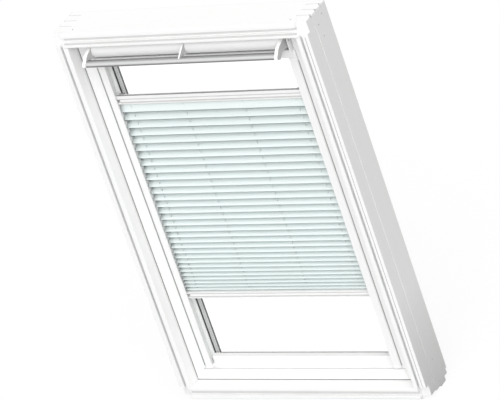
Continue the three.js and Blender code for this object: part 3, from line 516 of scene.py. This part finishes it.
print("finishes ready:", len(finishes))


# Meshes and pieces
bevelSteps = {"segments": 2, "profile": 0.6}


def meshFrom(form, name):
    mesh = bpy.data.meshes.new(name)
    form.to_mesh(mesh)
    form.free()
    return mesh


def settle(piece):
    # Turn what the live modifiers make into the piece's own plain mesh
    graph = bpy.context.evaluated_depsgraph_get()
    made = piece.evaluated_get(graph)
    mesh = bpy.data.meshes.new_from_object(made, preserve_all_data_layers=True, depsgraph=graph)
    piece.modifiers.clear()
    piece.data = mesh


def softPiece(form, name, material, angle, offset):
    # A piece with its sharp edges rounded and its faces smooth
    sharp = [edge for edge in form.edges if edge.calc_face_angle(0) > angle]
    bmesh.ops.bevel(form, geom=sharp, offset=offset, offset_type="OFFSET", affect="EDGES", clamp_overlap=True,
                    **bevelSteps)
    for face in form.faces:
        face.smooth = True
    piece = addObject(name, meshFrom(form, name + "Form"))
    piece.data.materials.append(material)
    piece.modifiers.new("weightedNormals", "WEIGHTED_NORMAL").keep_sharp = True
    settle(piece)
    return piece


def handOver(piece, body, slot, *replaced):
    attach(piece, body)
    if replaced:
        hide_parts(*replaced)


# Every hard part: a merged copy of its solid with softened edges and smooth curves
edgeSoftening = {
    "mergeDistance": 0.002 * mm,
    "flatAngle": math.radians(0.5),
    "edgeAngle": math.radians(32),
    "rounds": {"white_lacquer": 0.6 * mm, "white_coat": 0.35 * mm, "white_plastic": 0.5 * mm, "glass": 0.4 * mm,
               "silver": 0.25 * mm, "steel": 0.25 * mm, "grey_coat": 0.25 * mm, "rubber": 0.4 * mm},
    "otherRound": 0.3 * mm,
    "sideFacing": 0.97,
}
ownForms = ["pleated_cloth", "left_tension_cord", "right_tension_cord", "blind_top_rail", "blind_bottom_rail",
            "left_side_rail", "right_side_rail"]


def addHardPart(node, values):
    form = bmesh.new()
    form.from_mesh(nodes[node].data)
    bmesh.ops.remove_doubles(form, verts=form.verts, dist=values["mergeDistance"])
    bmesh.ops.dissolve_limit(form, angle_limit=values["flatAngle"], verts=form.verts, edges=form.edges)
    offset = values["rounds"].get(slotOf[node], values["otherRound"])
    piece = softPiece(form, camelName(node), finishFor(node), values["edgeAngle"], offset)
    if node in armNodes:             # painted shade: the arms' side faces get a grey finish, their edges stay white
        piece.data.materials.append(finishes["armGrey"])
        for face in piece.data.polygons:
            face.material_index = 1 if abs(face.normal.x) > values["sideFacing"] else 0
    handOver(piece, bodyOf[node], slotOf[node], node)


hardNodes = [node for node in nodes if node not in ownForms]
for node in hardNodes:
    addHardPart(node, edgeSoftening)
print("hard parts ready:", len(hardNodes))


# Bars are drawn in mm, with their depth counted back from the frame's face
frameHalfDepth = 62.0
barSoftening = {"angle": math.radians(20), "round": 0.3 * mm}
thinSoftening = {**barSoftening, "round": 0.1 * mm}


def depthOf(depth):
    return (depth - frameHalfDepth) * mm


def alongX(outline):
    # (depth, z) in mm as places across a bar that runs along x
    return [(depthOf(depth), height * mm) for depth, height in outline]


def alongZ(outline):
    # (x, depth) in mm as places across a bar that runs along z
    return [(across * mm, depthOf(depth)) for across, depth in outline]


def slab(first, second):
    return [(first[0], second[0]), (first[1], second[0]), (first[1], second[1]), (first[0], second[1])]


def mirrored(outline):
    return [(-first, second) for first, second in outline]


def joinLoops(form, loops):
    # A closed skin over loops of corners that follow each other
    form.faces.new(loops[0][::-1])
    form.faces.new(loops[-1])
    count = len(loops[0])
    for lower, upper in zip(loops, loops[1:]):
        for corner in range(count):
            after = (corner + 1) % count
            form.faces.new([lower[corner], lower[after], upper[after], upper[corner]])


def addPrism(form, outline, ends, along):
    # One closed bar: the outline is drawn in the two directions across it
    def corner(first, second, place):
        return (place, first, second) if along == "x" else (first, second, place)

    loops = [[form.verts.new(corner(first, second, place)) for first, second in outline] for place in ends]
    joinLoops(form, loops)


def finishForm(form, name, finish, body, slot, replaced, softening):
    # Turn every face outward, soften the edges and hand the piece over
    bmesh.ops.recalc_face_normals(form, faces=form.faces)
    piece = softPiece(form, name, finishes[finish], softening["angle"], softening["round"])
    handOver(piece, body, slot, *replaced)


# Blind rails: two grooves along the front, notched ends, grey strips of painted shade at the back of the
# grooves, and a grey strip of painted shade in a channel along the top rail's top
blindRailForm = {
    "front": 46.0,
    "rear": 65.0,
    "grooves": {                       # from and to, as shares of the height below the top, and depth
        "blind_top_rail": ((0.34, 0.48, 2.2), (0.71, 0.93, 3.1)),
        "blind_bottom_rail": ((0.14, 0.32, 1.6), (0.64, 0.92, 3.1)),
    },
    "liner": 0.5,
    "linerBack": 0.05,
    "linerPlay": 0.1,
    "reach": 290.3,
    "notch": 9.5,
    "notchDepth": 8.0,
    "lip": 1.0,
    "channelRear": 56.0,
    "channelDepth": 3.5,
    "shoulder": 9.0,
    "topDrop": 1.6,
    "insetDrop": 1.0,
    "insetPlay": 0.1,
    "insetShort": 1.0,
}


def blindRailOutline(values, grooves, top, height, notched, channelled):
    front, rear, lip, back = values["front"], values["rear"], values["lip"], values["channelRear"]
    shoulder, floor = top - values["shoulder"], top - values["channelDepth"]
    outline = [(front, top - height), (rear, top - height)]
    if channelled:
        outline += [(rear, shoulder), (back + lip, shoulder), (back + lip, top), (back, top), (back, floor),
                    (front + lip, floor), (front + lip, top), (front, top)]
    else:
        outline += [(rear, top), (front, top)]
    if notched:
        high, low = (top - height * sum(groove[:2]) / 2 for groove in grooves)
        cutBack = front + values["notchDepth"]
        outline += [(front, high), (cutBack, high), (cutBack, low), (front, low)]
    else:
        for highShare, lowShare, depth in grooves:
            high, low = top - height * highShare, top - height * lowShare
            outline += [(front, high), (front + depth, high), (front + depth, low), (front, low)]
    return alongX(outline)


def addBlindRail(node, body, channelled, values, softening):
    low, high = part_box(node)
    drop = values["topDrop"] if channelled else 0.0
    top, height = high.z / mm - drop, (high.z - low.z) / mm - drop
    grooves, front, play = values["grooves"][node], values["front"], values["linerPlay"]
    side = values["reach"] * mm
    inner = side - values["notch"] * mm
    form = bmesh.new()
    plain, notched = (blindRailOutline(values, grooves, top, height, cut, channelled) for cut in (False, True))
    addPrism(form, plain, (-inner, inner), "x")
    addPrism(form, notched, (-side, -inner), "x")
    addPrism(form, notched, (inner, side), "x")
    finishForm(form, camelName(node), "whiteCoat", body, "white_coat", [node], softening)
    # Painted shade: a grey strip at the back of each groove
    form = bmesh.new()
    for highShare, lowShare, depth in grooves:
        depths = (front + depth - values["liner"], front + depth - values["linerBack"])
        heights = (top - height * highShare - play, top - height * lowShare + play)
        addPrism(form, alongX(slab(depths, heights)), (-inner + play * mm, inner - play * mm), "x")
    finishForm(form, camelName(node) + "GrooveLiner", "quirkLiner", body, "grey_plastic", [], thinSoftening)
    if channelled:
        # Painted shade: a grey strip in the channel along the top rail's top
        play, end = values["insetPlay"], side - values["insetShort"] * mm
        depths = (front + values["lip"] + play, values["channelRear"] - play)
        heights = (top - values["channelDepth"] + play, top - values["insetDrop"])
        form = bmesh.new()
        addPrism(form, alongX(slab(depths, heights)), (-end, end), "x")
        finishForm(form, "topRailInset", "railInset", body, "grey_plastic", [], softening)


# Side rails: a thin flange rounded over at its outer edge, and a leg set back behind it
sideRailForm = {
    "front": 38.0,
    "flange": 2.6,
    "legIn": 6.4,
    "seat": 44.7,
    "seatIn": 9.0,
    "outerRound": 6.0,
    "roundSteps": 7,
}


def addSideRail(node, side, values, softening):
    low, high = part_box(node)
    inner, outer = sorted((abs(low.x) / mm, abs(high.x) / mm))
    rear = high.y / mm + frameHalfDepth
    front, arc = values["front"], values["outerRound"]
    outline = [(inner, front)]
    for step in range(values["roundSteps"] + 1):
        angle = math.pi / 2 * step / values["roundSteps"]
        outline.append((outer - arc + arc * math.sin(angle), front + arc - arc * math.cos(angle)))
    seatAt, legAt, flangeRear = inner + values["seatIn"], inner + values["legIn"], front + values["flange"]
    outline += [(outer, values["seat"]), (seatAt, values["seat"]), (seatAt, rear), (legAt, rear),
                (legAt, flangeRear), (inner, flangeRear)]
    form = bmesh.new()
    addPrism(form, alongZ([(side * across, depth) for across, depth in outline]), (low.z, high.z), "z")
    finishForm(form, camelName(node), "whiteCoat", "sash", "white_coat", [node], softening)


# Thin grey strips that paint the shade in grooves, at steps and in gaps, in mm: outlines along z are (x,
# depth), those along x (depth, z)
grooveShadeStripForm = {"inner": 364.05, "outer": 371.95, "mouth": 0.3, "bottom": 9.95, "wall": 0.35}


def channel(values):
    # A thin U of painted shade, with its mouth near the frame's face and its back against the bottom of the
    # groove
    inner, outer, mouth = values["inner"], values["outer"], values["mouth"]
    bottom, wall = values["bottom"], values["wall"]
    return [(inner, mouth), (inner, bottom), (outer, bottom), (outer, mouth), (outer - wall, mouth),
            (outer - wall, bottom - wall), (inner + wall, bottom - wall), (inner + wall, mouth)]


# Each row: along, outline, run, body, slot, finish; a strip along z has its name twice, left and right
stripForms = {
    # Painted shade: a dark strip in the gap beside each side rail
    "RailSeam": ("z", slab((309.6, 312.0), (40.6, 44.5)), (90.4, 1047.0), "sash", "rubber", "railSeam"),
    "GrooveLiner": ("z", channel(grooveShadeStripForm), (46.0, 1136.0), "frame", "white_plastic", "grooveLiner"),
    "StepLiner": ("z", slab((378.55, 378.85), (0.7, 2.75)), (46.0, 1136.0), "frame", "white_plastic",
                  "stepLiner"),
    "headGrooveLiner": ("x", slab((9.5, 9.95), (1154.6, 1165.5)), (-358, 358), "frame", "white_plastic",
                        "grooveLiner"),
    "headQuirkLiner": ("x", slab((2.4, 2.75), (1144.1, 1149.6)), (-358, 358), "frame", "white_plastic",
                       "quirkLiner"),
    "sillGrooveLiner": ("x", slab((9.5, 9.95), (18.6, 32.5)), (-360, 360), "frame", "white_plastic",
                        "sillLiner"),
    # Painted shade: dark strips in the gaps between frame and sash, and a thin grey one on the sash
    "GapSeal": ("z", slab((350.35, 350.95), (42.5, 50.0)), (48.0, 1130.0), "frame", "rubber", "railSeam"),
    "sillSeal": ("x", slab((42.4, 46.5), (42.05, 44.3)), (-350, 350), "frame", "rubber", "seamGrey"),
    "backboardSeal": ("x", slab((43.2, 48.2), (77.02, 77.5)), (-285, 285), "sash", "rubber", "quirkLiner"),
}


def addStrip(name, along, places, run, body, slot, finish):
    form = bmesh.new()
    addPrism(form, places, [end * mm for end in run], along)
    finishForm(form, name, finish, body, slot, [], thinSoftening)


addBlindRail("blind_top_rail", "blind_top", True, blindRailForm, barSoftening)
addBlindRail("blind_bottom_rail", "blind_bottom", False, blindRailForm, barSoftening)
addSideRail("left_side_rail", -1, sideRailForm, barSoftening)
addSideRail("right_side_rail", 1, sideRailForm, barSoftening)
for name, (along, outline, *others) in stripForms.items():
    if along == "z":
        addStrip("left" + name, along, alongZ(mirrored(outline)), *others)
        addStrip("right" + name, along, alongZ(outline), *others)
    else:
        addStrip(name, along, alongX(outline), *others)
print("rails ready")


# Pleated cloth between the two rails
clothShape = {
    "crests": 31,
    "firstCrest": 906.0 * mm,
    "lastCrest": 335.5 * mm,
    "taper": 0.398,
    "taperBend": -0.084,
    "side": 290.3 * mm,
    "gapToRails": 0.3 * mm,
    "front": 47.2,
    "rear": 63.8,
    "foldRound": 0.7 * mm,
    "foldInset": 0.35,
    "facetRow": 0.22,
    "thickness": 0.32 * mm,
    "columns": 34,
    "cordClear": 1.6,
    "wave": 0.35 * mm,
    "waveTurns": (9, 17, 25),
    "waveSizes": (0.5, 1.0),
    "edgeCalm": 6,
    "cordSides": (-256.0 * mm, -92.0 * mm, 92.0 * mm, 256.0 * mm),
    "holeRadius": 1.3 * mm,
    "holeMargin": 3.2 * mm,
    # Painted shade in the valleys, under the folds and at the cords
    "valleyShade": 0.2,
    "valleyPower": 1.2,
    "underShade": 1.0,
    "underFade": 0.7,
    "dentShade": 0.2,
    "dentWidth": 3.4 * mm,
    "dentMiddle": 0.35,
    "dentReach": 0.3,
    "seed": 11,
}


def squashWithRail(piece):
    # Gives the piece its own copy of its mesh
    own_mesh(piece)


def clothColumns(values):
    side, margin, radius = values["side"], values["holeMargin"], values["holeRadius"]
    columns = [-side + 2 * side * index / values["columns"] for index in range(values["columns"] + 1)]
    near = values["cordClear"] * margin
    columns = [x for x in columns if all(abs(x - cord) > near for cord in values["cordSides"])]
    columns += [cord + step for cord in values["cordSides"] for step in (-margin, -radius, 0, radius, margin)]
    return sorted(columns)


def clothFolds(values, top, bottom):
    # The folds from top to foot as (y, z); the pleats lie closer together toward the foot
    last = values["crests"] * 2
    folds = [Vector((depthOf((values["front"] + values["rear"]) / 2), top))]
    for index in range(1, last):
        share = (index - 1) / (last - 2)
        lean = share * (1 - share) * (values["taper"] + values["taperBend"] * (1 - 2 * share))
        height = values["firstCrest"] - (values["firstCrest"] - values["lastCrest"]) * (share + lean)
        folds.append(Vector((depthOf(values["rear"] if index % 2 == 0 else values["front"]), height)))
    return folds + [Vector((folds[0].x, bottom))]


def clothRows(values, folds):
    # Each row: fold before it, share along the facet, distance along the cloth, whether it crosses the holes
    rows, run = [], 0.0
    radius, margin = values["holeRadius"], values["holeMargin"]
    for index in range(len(folds) - 1):
        length = (folds[index + 1] - folds[index]).length
        middle = length / 2
        stops = [values["foldRound"], length * values["facetRow"], middle - margin, middle - radius, middle,
                 middle + radius, middle + margin, length * (1 - values["facetRow"]),
                 length - values["foldRound"]]
        if index == 0:
            stops.insert(0, 0.0)
        rows += [(index, stop / length, run + stop, abs(stop - middle) < radius / 2) for stop in stops]
        run += length
        rows.append((index, 1.0, run, False))
    return rows, run


def clothShade(values, index, share, x, last):
    # Painted shade: darker in the valleys and under each fold, and in a small patch at each cord, where no dent
    # is modelled
    shade = values["valleyShade"] * (1 - share) ** values["valleyPower"]
    if index % 2 == 1:
        under = values["underShade"] * (1 - values["underFade"] * index / last)
        shade = under if share < 1 else values["valleyShade"]
    away = min(abs(abs(x) - abs(cord)) for cord in values["cordSides"])
    fromDent = abs(share - values["dentMiddle"]) / values["dentReach"]
    dent = max(0.0, 1 - away / values["dentWidth"]) * max(0.0, 1 - fromDent)
    return min(1.0, shade + values["dentShade"] * dent)


def addCloth(values):
    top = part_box("blind_top_rail")[0].z - values["gapToRails"]
    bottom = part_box("blind_bottom_rail")[1].z + values["gapToRails"]
    folds = clothFolds(values, top, bottom)
    last = len(folds) - 1
    chance = random.Random(values["seed"])
    waves = [[(turns, chance.uniform(0, math.tau), chance.uniform(*values["waveSizes"]))
              for turns in values["waveTurns"]] for fold in folds]
    columns = clothColumns(values)
    rows, run = clothRows(values, folds)
    form = bmesh.new()
    uvLayer = form.loops.layers.uv.new("clothMap")
    foldShadeLayer = form.verts.layers.float.new("valleyShare")
    grid = []
    for index, share, *others in rows:
        line = []
        for x in columns:
            shift = 0.0
            for fold, weight in ((index, 1 - share), (index + 1, share)):
                for turns, phase, size in waves[fold]:
                    shift += weight * size * math.sin(phase + x * turns) / len(values["waveTurns"])
            place = folds[index].lerp(folds[index + 1], share)
            edge = 1 - abs(x) / values["side"]
            atRail = index + share in (0, last)
            height = place.y if atRail else place.y + values["wave"] * shift * min(1, edge * values["edgeCalm"])
            depth = place.x
            if share == 1.0 and not atRail:
                inward = 1 if index % 2 == 0 else -1
                depth += inward * values["foldRound"] * values["foldInset"]
            vert = form.verts.new((x, depth, height))
            vert[foldShadeLayer] = clothShade(values, index, share, x, last)
            line.append(vert)
        grid.append(line)
    holes = []
    for row in range(len(grid) - 1):
        for column in range(len(columns) - 1):
            marks = [(column, row), (column, row + 1), (column + 1, row + 1), (column + 1, row)]
            face = form.faces.new([grid[r][c] for c, r in marks])
            face.smooth = True
            for loop, (c, r) in zip(face.loops, marks):
                loop[uvLayer].uv = (columns[c], rows[r][2])
            x = (columns[column] + columns[column + 1]) / 2
            nearCord = any(abs(x - cord) < values["holeRadius"] for cord in values["cordSides"])
            if nearCord and (rows[row][3] or rows[row + 1][3]):
                holes.append(face)
    bmesh.ops.delete(form, geom=holes, context="FACES_ONLY")
    loose = [vert for vert in form.verts if not vert.link_faces]
    bmesh.ops.delete(form, geom=loose, context="VERTS")
    cloth = addObject("pleatedCloth", meshFrom(form, "pleatedCloth"))
    cloth.data.materials.append(finishes["cloth"])
    wall = cloth.modifiers.new("clothWall", "SOLIDIFY")
    wall.thickness = values["thickness"]
    wall.offset = 0
    settle(cloth)
    handOver(cloth, "blind_top", "cloth", "pleated_cloth")
    squashWithRail(cloth)
    return cloth


cloth = addCloth(clothShape)
print("cloth ready:", len(cloth.data.polygons), "faces")


# Cords: thin round lines with a slow twist, through the cloth and inside the side rails
cordForm = {
    "radius": 0.62 * mm,
    "sides": 10,
    "step": 2.0 * mm,
    "strands": 3,
    "twist": 900.0,
    "ridge": 0.07,
    "clothDepth": 55.5,
    "railSide": 291.3 * mm,
}


def addCord(name, x, y, low, high, values):
    form = bmesh.new()
    uvLayer = form.loops.layers.uv.new("cordMap")
    count, sides = round((high - low) / values["step"]), values["sides"]
    rings = []
    for ring in range(count + 1):
        z = low + (high - low) * ring / count
        line = []
        for index in range(sides):
            angle = math.tau * index / sides
            ridge = math.sin(values["strands"] * angle + values["twist"] * z)
            radius = values["radius"] * (1 + values["ridge"] * ridge)
            line.append(form.verts.new((x + radius * math.cos(angle), y + radius * math.sin(angle), z)))
        rings.append(line)
    form.faces.new(rings[0][::-1])
    form.faces.new(rings[-1])
    around = math.tau * values["radius"]
    for ring in range(count):
        for index in range(sides):
            marks = ((index, ring), (index + 1, ring), (index + 1, ring + 1), (index, ring + 1))
            face = form.faces.new([rings[row][turn % sides] for turn, row in marks])
            face.smooth = True
            for loop, (turn, row) in zip(face.loops, marks):
                loop[uvLayer].uv = (around * turn / sides, (high - low) * row / count)
    cord = addObject(name, meshFrom(form, name + "Form"))
    cord.data.materials.append(finishes["cord"])
    return cord


def addCords(values):
    low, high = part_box("pleated_cloth")
    for number, x in enumerate(clothShape["cordSides"]):
        cord = addCord(f"clothCord{number + 1}", x, depthOf(values["clothDepth"]), low.z, high.z, values)
        handOver(cord, "blind_top", "cord")
        squashWithRail(cord)
    for node, side in (("left_tension_cord", -1), ("right_tension_cord", 1)):
        low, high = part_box(node)
        cord = addCord(camelName(node), side * values["railSide"], (low.y + high.y) / 2, low.z, high.z, values)
        handOver(cord, "sash", "cord", node)


addCords(cordForm)
print("cords ready")


# Small repeated things, set on points that carry the direction they face
def buildScatter():
    group = bpy.data.node_groups.new("facedScatter", "GeometryNodeTree")
    for label, kind in (("Geometry", "Geometry"), ("Head", "Object"), ("Material", "Material"),
                        ("Turn Spread", "Float"), ("Seed", "Int")):
        group.interface.new_socket(name=label, in_out="INPUT", socket_type="NodeSocket" + kind)
    group.interface.new_socket(name="Geometry", in_out="OUTPUT", socket_type="NodeSocketGeometry")

    def add(kind, inputs, output=0, **settings):
        return addNode(group, kind, inputs, **settings).outputs[output]

    given = group.nodes.new("NodeGroupInput").outputs
    points = add("GeometryNodeMeshToPoints", {"Mesh": given["Geometry"]})
    facing = add("GeometryNodeInputNamedAttribute", {"Name": "facing"}, "Attribute", data_type="FLOAT_VECTOR")
    align = add("FunctionNodeAlignRotationToVector", {"Vector": facing}, axis="Z")
    least = mathNode(group, "MULTIPLY", given["Turn Spread"], -1.0)
    turn = add("FunctionNodeRandomValue", {2: least, 3: given["Turn Spread"], "Seed": given["Seed"]}, 1,
               data_type="FLOAT")
    angles = add("ShaderNodeCombineXYZ", {"Z": turn})
    euler = add("FunctionNodeEulerToRotation", {0: angles})
    rotate = add("FunctionNodeRotateRotation", {0: align, 1: euler}, rotation_space="LOCAL")
    head = add("GeometryNodeObjectInfo", {"Object": given["Head"]}, "Geometry")
    heads = add("GeometryNodeInstanceOnPoints", {"Points": points, "Instance": head, "Rotation": rotate})
    real = add("GeometryNodeRealizeInstances", {0: heads})
    painted = add("GeometryNodeSetMaterial", {"Geometry": real, "Material": given["Material"]})
    addNode(group, "NodeGroupOutput", {"Geometry": painted})
    return group


turnedForm = {"corners": 12, "innerRings": 2, "lobes": 0.28}
barTopShare = 0.5


def finishHead(form, name):
    bmesh.ops.recalc_face_normals(form, faces=form.faces)
    return addObject(name, meshFrom(form, name))


def turnedHead(name, rings, lobes=0.0):
    # A turned head from (radius, height) rings in mm; lobes draws every other corner of the inner rings in
    form = bmesh.new()
    loops = []
    for place, (radius, height) in enumerate(rings):
        inner = place >= len(rings) - turnedForm["innerRings"]
        loop = []
        for corner in range(turnedForm["corners"]):
            reach = radius * mm * (1 - lobes * (corner % 2) * inner)
            angle = math.tau * corner / turnedForm["corners"]
            loop.append(form.verts.new((reach * math.cos(angle), reach * math.sin(angle), height * mm)))
        loops.append(loop)
    joinLoops(form, loops)
    return finishHead(form, name)


def barHead(name, size):
    # A small bar with a bevelled back, lying along its own x
    form = bmesh.new()
    long, wide, high = (length / 2 * mm for length in size)
    top = wide * barTopShare
    addPrism(form, [(-wide, 0.0), (wide, 0.0), (wide, high), (top, 2 * high), (-top, 2 * high), (-wide, high)],
             (-long, long), "x")
    return finishHead(form, name)


def bothSides(points):
    return [(side * x, depth, z) for x, depth, z in points for side in (-1, 1)]


screwRings = [(4.0, 0.0), (4.0, 0.4), (3.4, 1.2), (2.5, 1.5), (1.9, 1.5), (1.8, 0.7)]
smallScrewRings = [(2.6, 0.0), (2.6, 0.3), (2.2, 0.7), (1.7, 0.9), (1.3, 0.9), (1.2, 0.4)]
nailRings = [(2.4, 0.0), (2.4, 0.15), (2.0, 0.22), (1.7, 0.22), (1.5, 0.1)]
holeRings = [(1.0, 0.0), (1.0, 0.06), (0.85, 0.1), (0.6, 0.1), (0.5, 0.02)]
headShapes = {
    "screwHead": turnedHead("screwHead", screwRings, turnedForm["lobes"]),
    "smallScrewHead": turnedHead("smallScrewHead", smallScrewRings, turnedForm["lobes"]),
    "nailHead": turnedHead("nailHead", nailRings),
    "airHole": turnedHead("airHole", holeRings),
    "jointSeam": barHead("jointSeam", (38.0, 1.3, 0.12)),
    "filterRib": barHead("filterRib", (1.2, 8.6, 0.5)),
}
# Places are (x, depth, z) in mm
frameScrews = bothSides([(365, 126, z) for z in (120, 420, 760, 1060)]
                        + [(x, 126, z) for z in (1153, 26.5) for x in (320, 110)])
sashScrews = bothSides([(320, 109.95, z) for z in (150, 420, 760, 1010)]
                       + [(x, 109.95, z) for z in (68, 1096) for x in (240, 80)])
headNails = [(-331.5, 25, 1178), (338.5, 25, 1178)]
rightNails = [(390, 92.7, 1153.7), (390, 64.5, 1136.9), (390, 72.8, 1098.7), (390, 72.8, 87.5)]
leftNails = [(-x, depth, z) for x, depth, z in rightNails]
seams = bothSides([(365, depth, 1178) for depth in (44.5, 73.0, 101.5)])
spacerRow = {"first": 103.5, "pitch": 7.0, "count": 135, "side": 285, "depth": 86.5}
filterRow = {"first": -286, "pitch": 4.0, "count": 144, "depth": 56.2, "height": 1089.3}
holeHeights = [spacerRow["first"] + spacerRow["pitch"] * step for step in range(spacerRow["count"])]
leftHoles = [(-spacerRow["side"], spacerRow["depth"], z) for z in holeHeights]
rightHoles = [(spacerRow["side"], spacerRow["depth"], z) for z in holeHeights]
ribs = [(filterRow["first"] + filterRow["pitch"] * step, filterRow["depth"], filterRow["height"])
        for step in range(filterRow["count"])]
up, down, right, left, back = (0, 0, 1), (0, 0, -1), (1, 0, 0), (-1, 0, 0), (0, 1, 0)
# Each row: head, finish, body, slot, turn spread, seed, {facing: places}
scatterRows = {
    "frameCoverScrews": ("screwHead", "steel", "frame", "steel", math.pi, 3, {back: frameScrews}),
    "sashCoverScrews": ("smallScrewHead", "steel", "sash", "steel", math.pi, 5, {back: sashScrews}),
    "lockScrews": ("smallScrewHead", "steel", "sash", "steel", math.pi, 7, {up: bothSides([(65, 85, 1133)])}),
    "strikerScrews": ("smallScrewHead", "steel", "frame", "steel", math.pi, 9,
                      {down: bothSides([(31, 85, 1136)])}),
    "cornerNails": ("nailHead", "nailHead", "frame", "steel", math.pi, 13,
                    {up: headNails, right: rightNails, left: leftNails}),
    "cornerSeams": ("jointSeam", "nailHead", "frame", "steel", 0.0, 1, {up: seams}),
    "spacerHoles": ("airHole", "greyPlastic", "sash", "grey_plastic", math.pi, 17,
                    {right: leftHoles, left: rightHoles}),
    "filterRibs": ("filterRib", "foam", "sash", "foam", 0.0, 1, {up: ribs}),
}
scatterGroup = buildScatter()


def addScatter(name, head, finish, body, slot, spread, seed, places):
    points = bpy.data.meshes.new(name + "Points")
    flat = [(place, facing) for facing, spots in places.items() for place in spots]
    points.from_pydata([(x * mm, depthOf(depth), z * mm) for (x, depth, z), facing in flat], [], [])
    layer = points.attributes.new("facing", "FLOAT_VECTOR", "POINT")
    for item, (place, facing) in zip(layer.data, flat):
        item.vector = facing
    piece = addObject(name, points)
    scatter = piece.modifiers.new("facedScatter", "NODES")
    scatter.node_group = scatterGroup
    chosen = {"Head": headShapes[head], "Material": finishes[finish], "Turn Spread": spread, "Seed": seed}
    for item in scatterGroup.interface.items_tree:
        if item.in_out == "INPUT" and item.name in chosen:
            scatter[item.identifier] = chosen[item.name]
    settle(piece)
    handOver(piece, body, slot)
    print(name, len(piece.data.polygons), "faces")


for name, row in scatterRows.items():
    addScatter(name, *row)
for head in headShapes.values():
    bpy.data.objects.remove(head)
print("small parts ready")
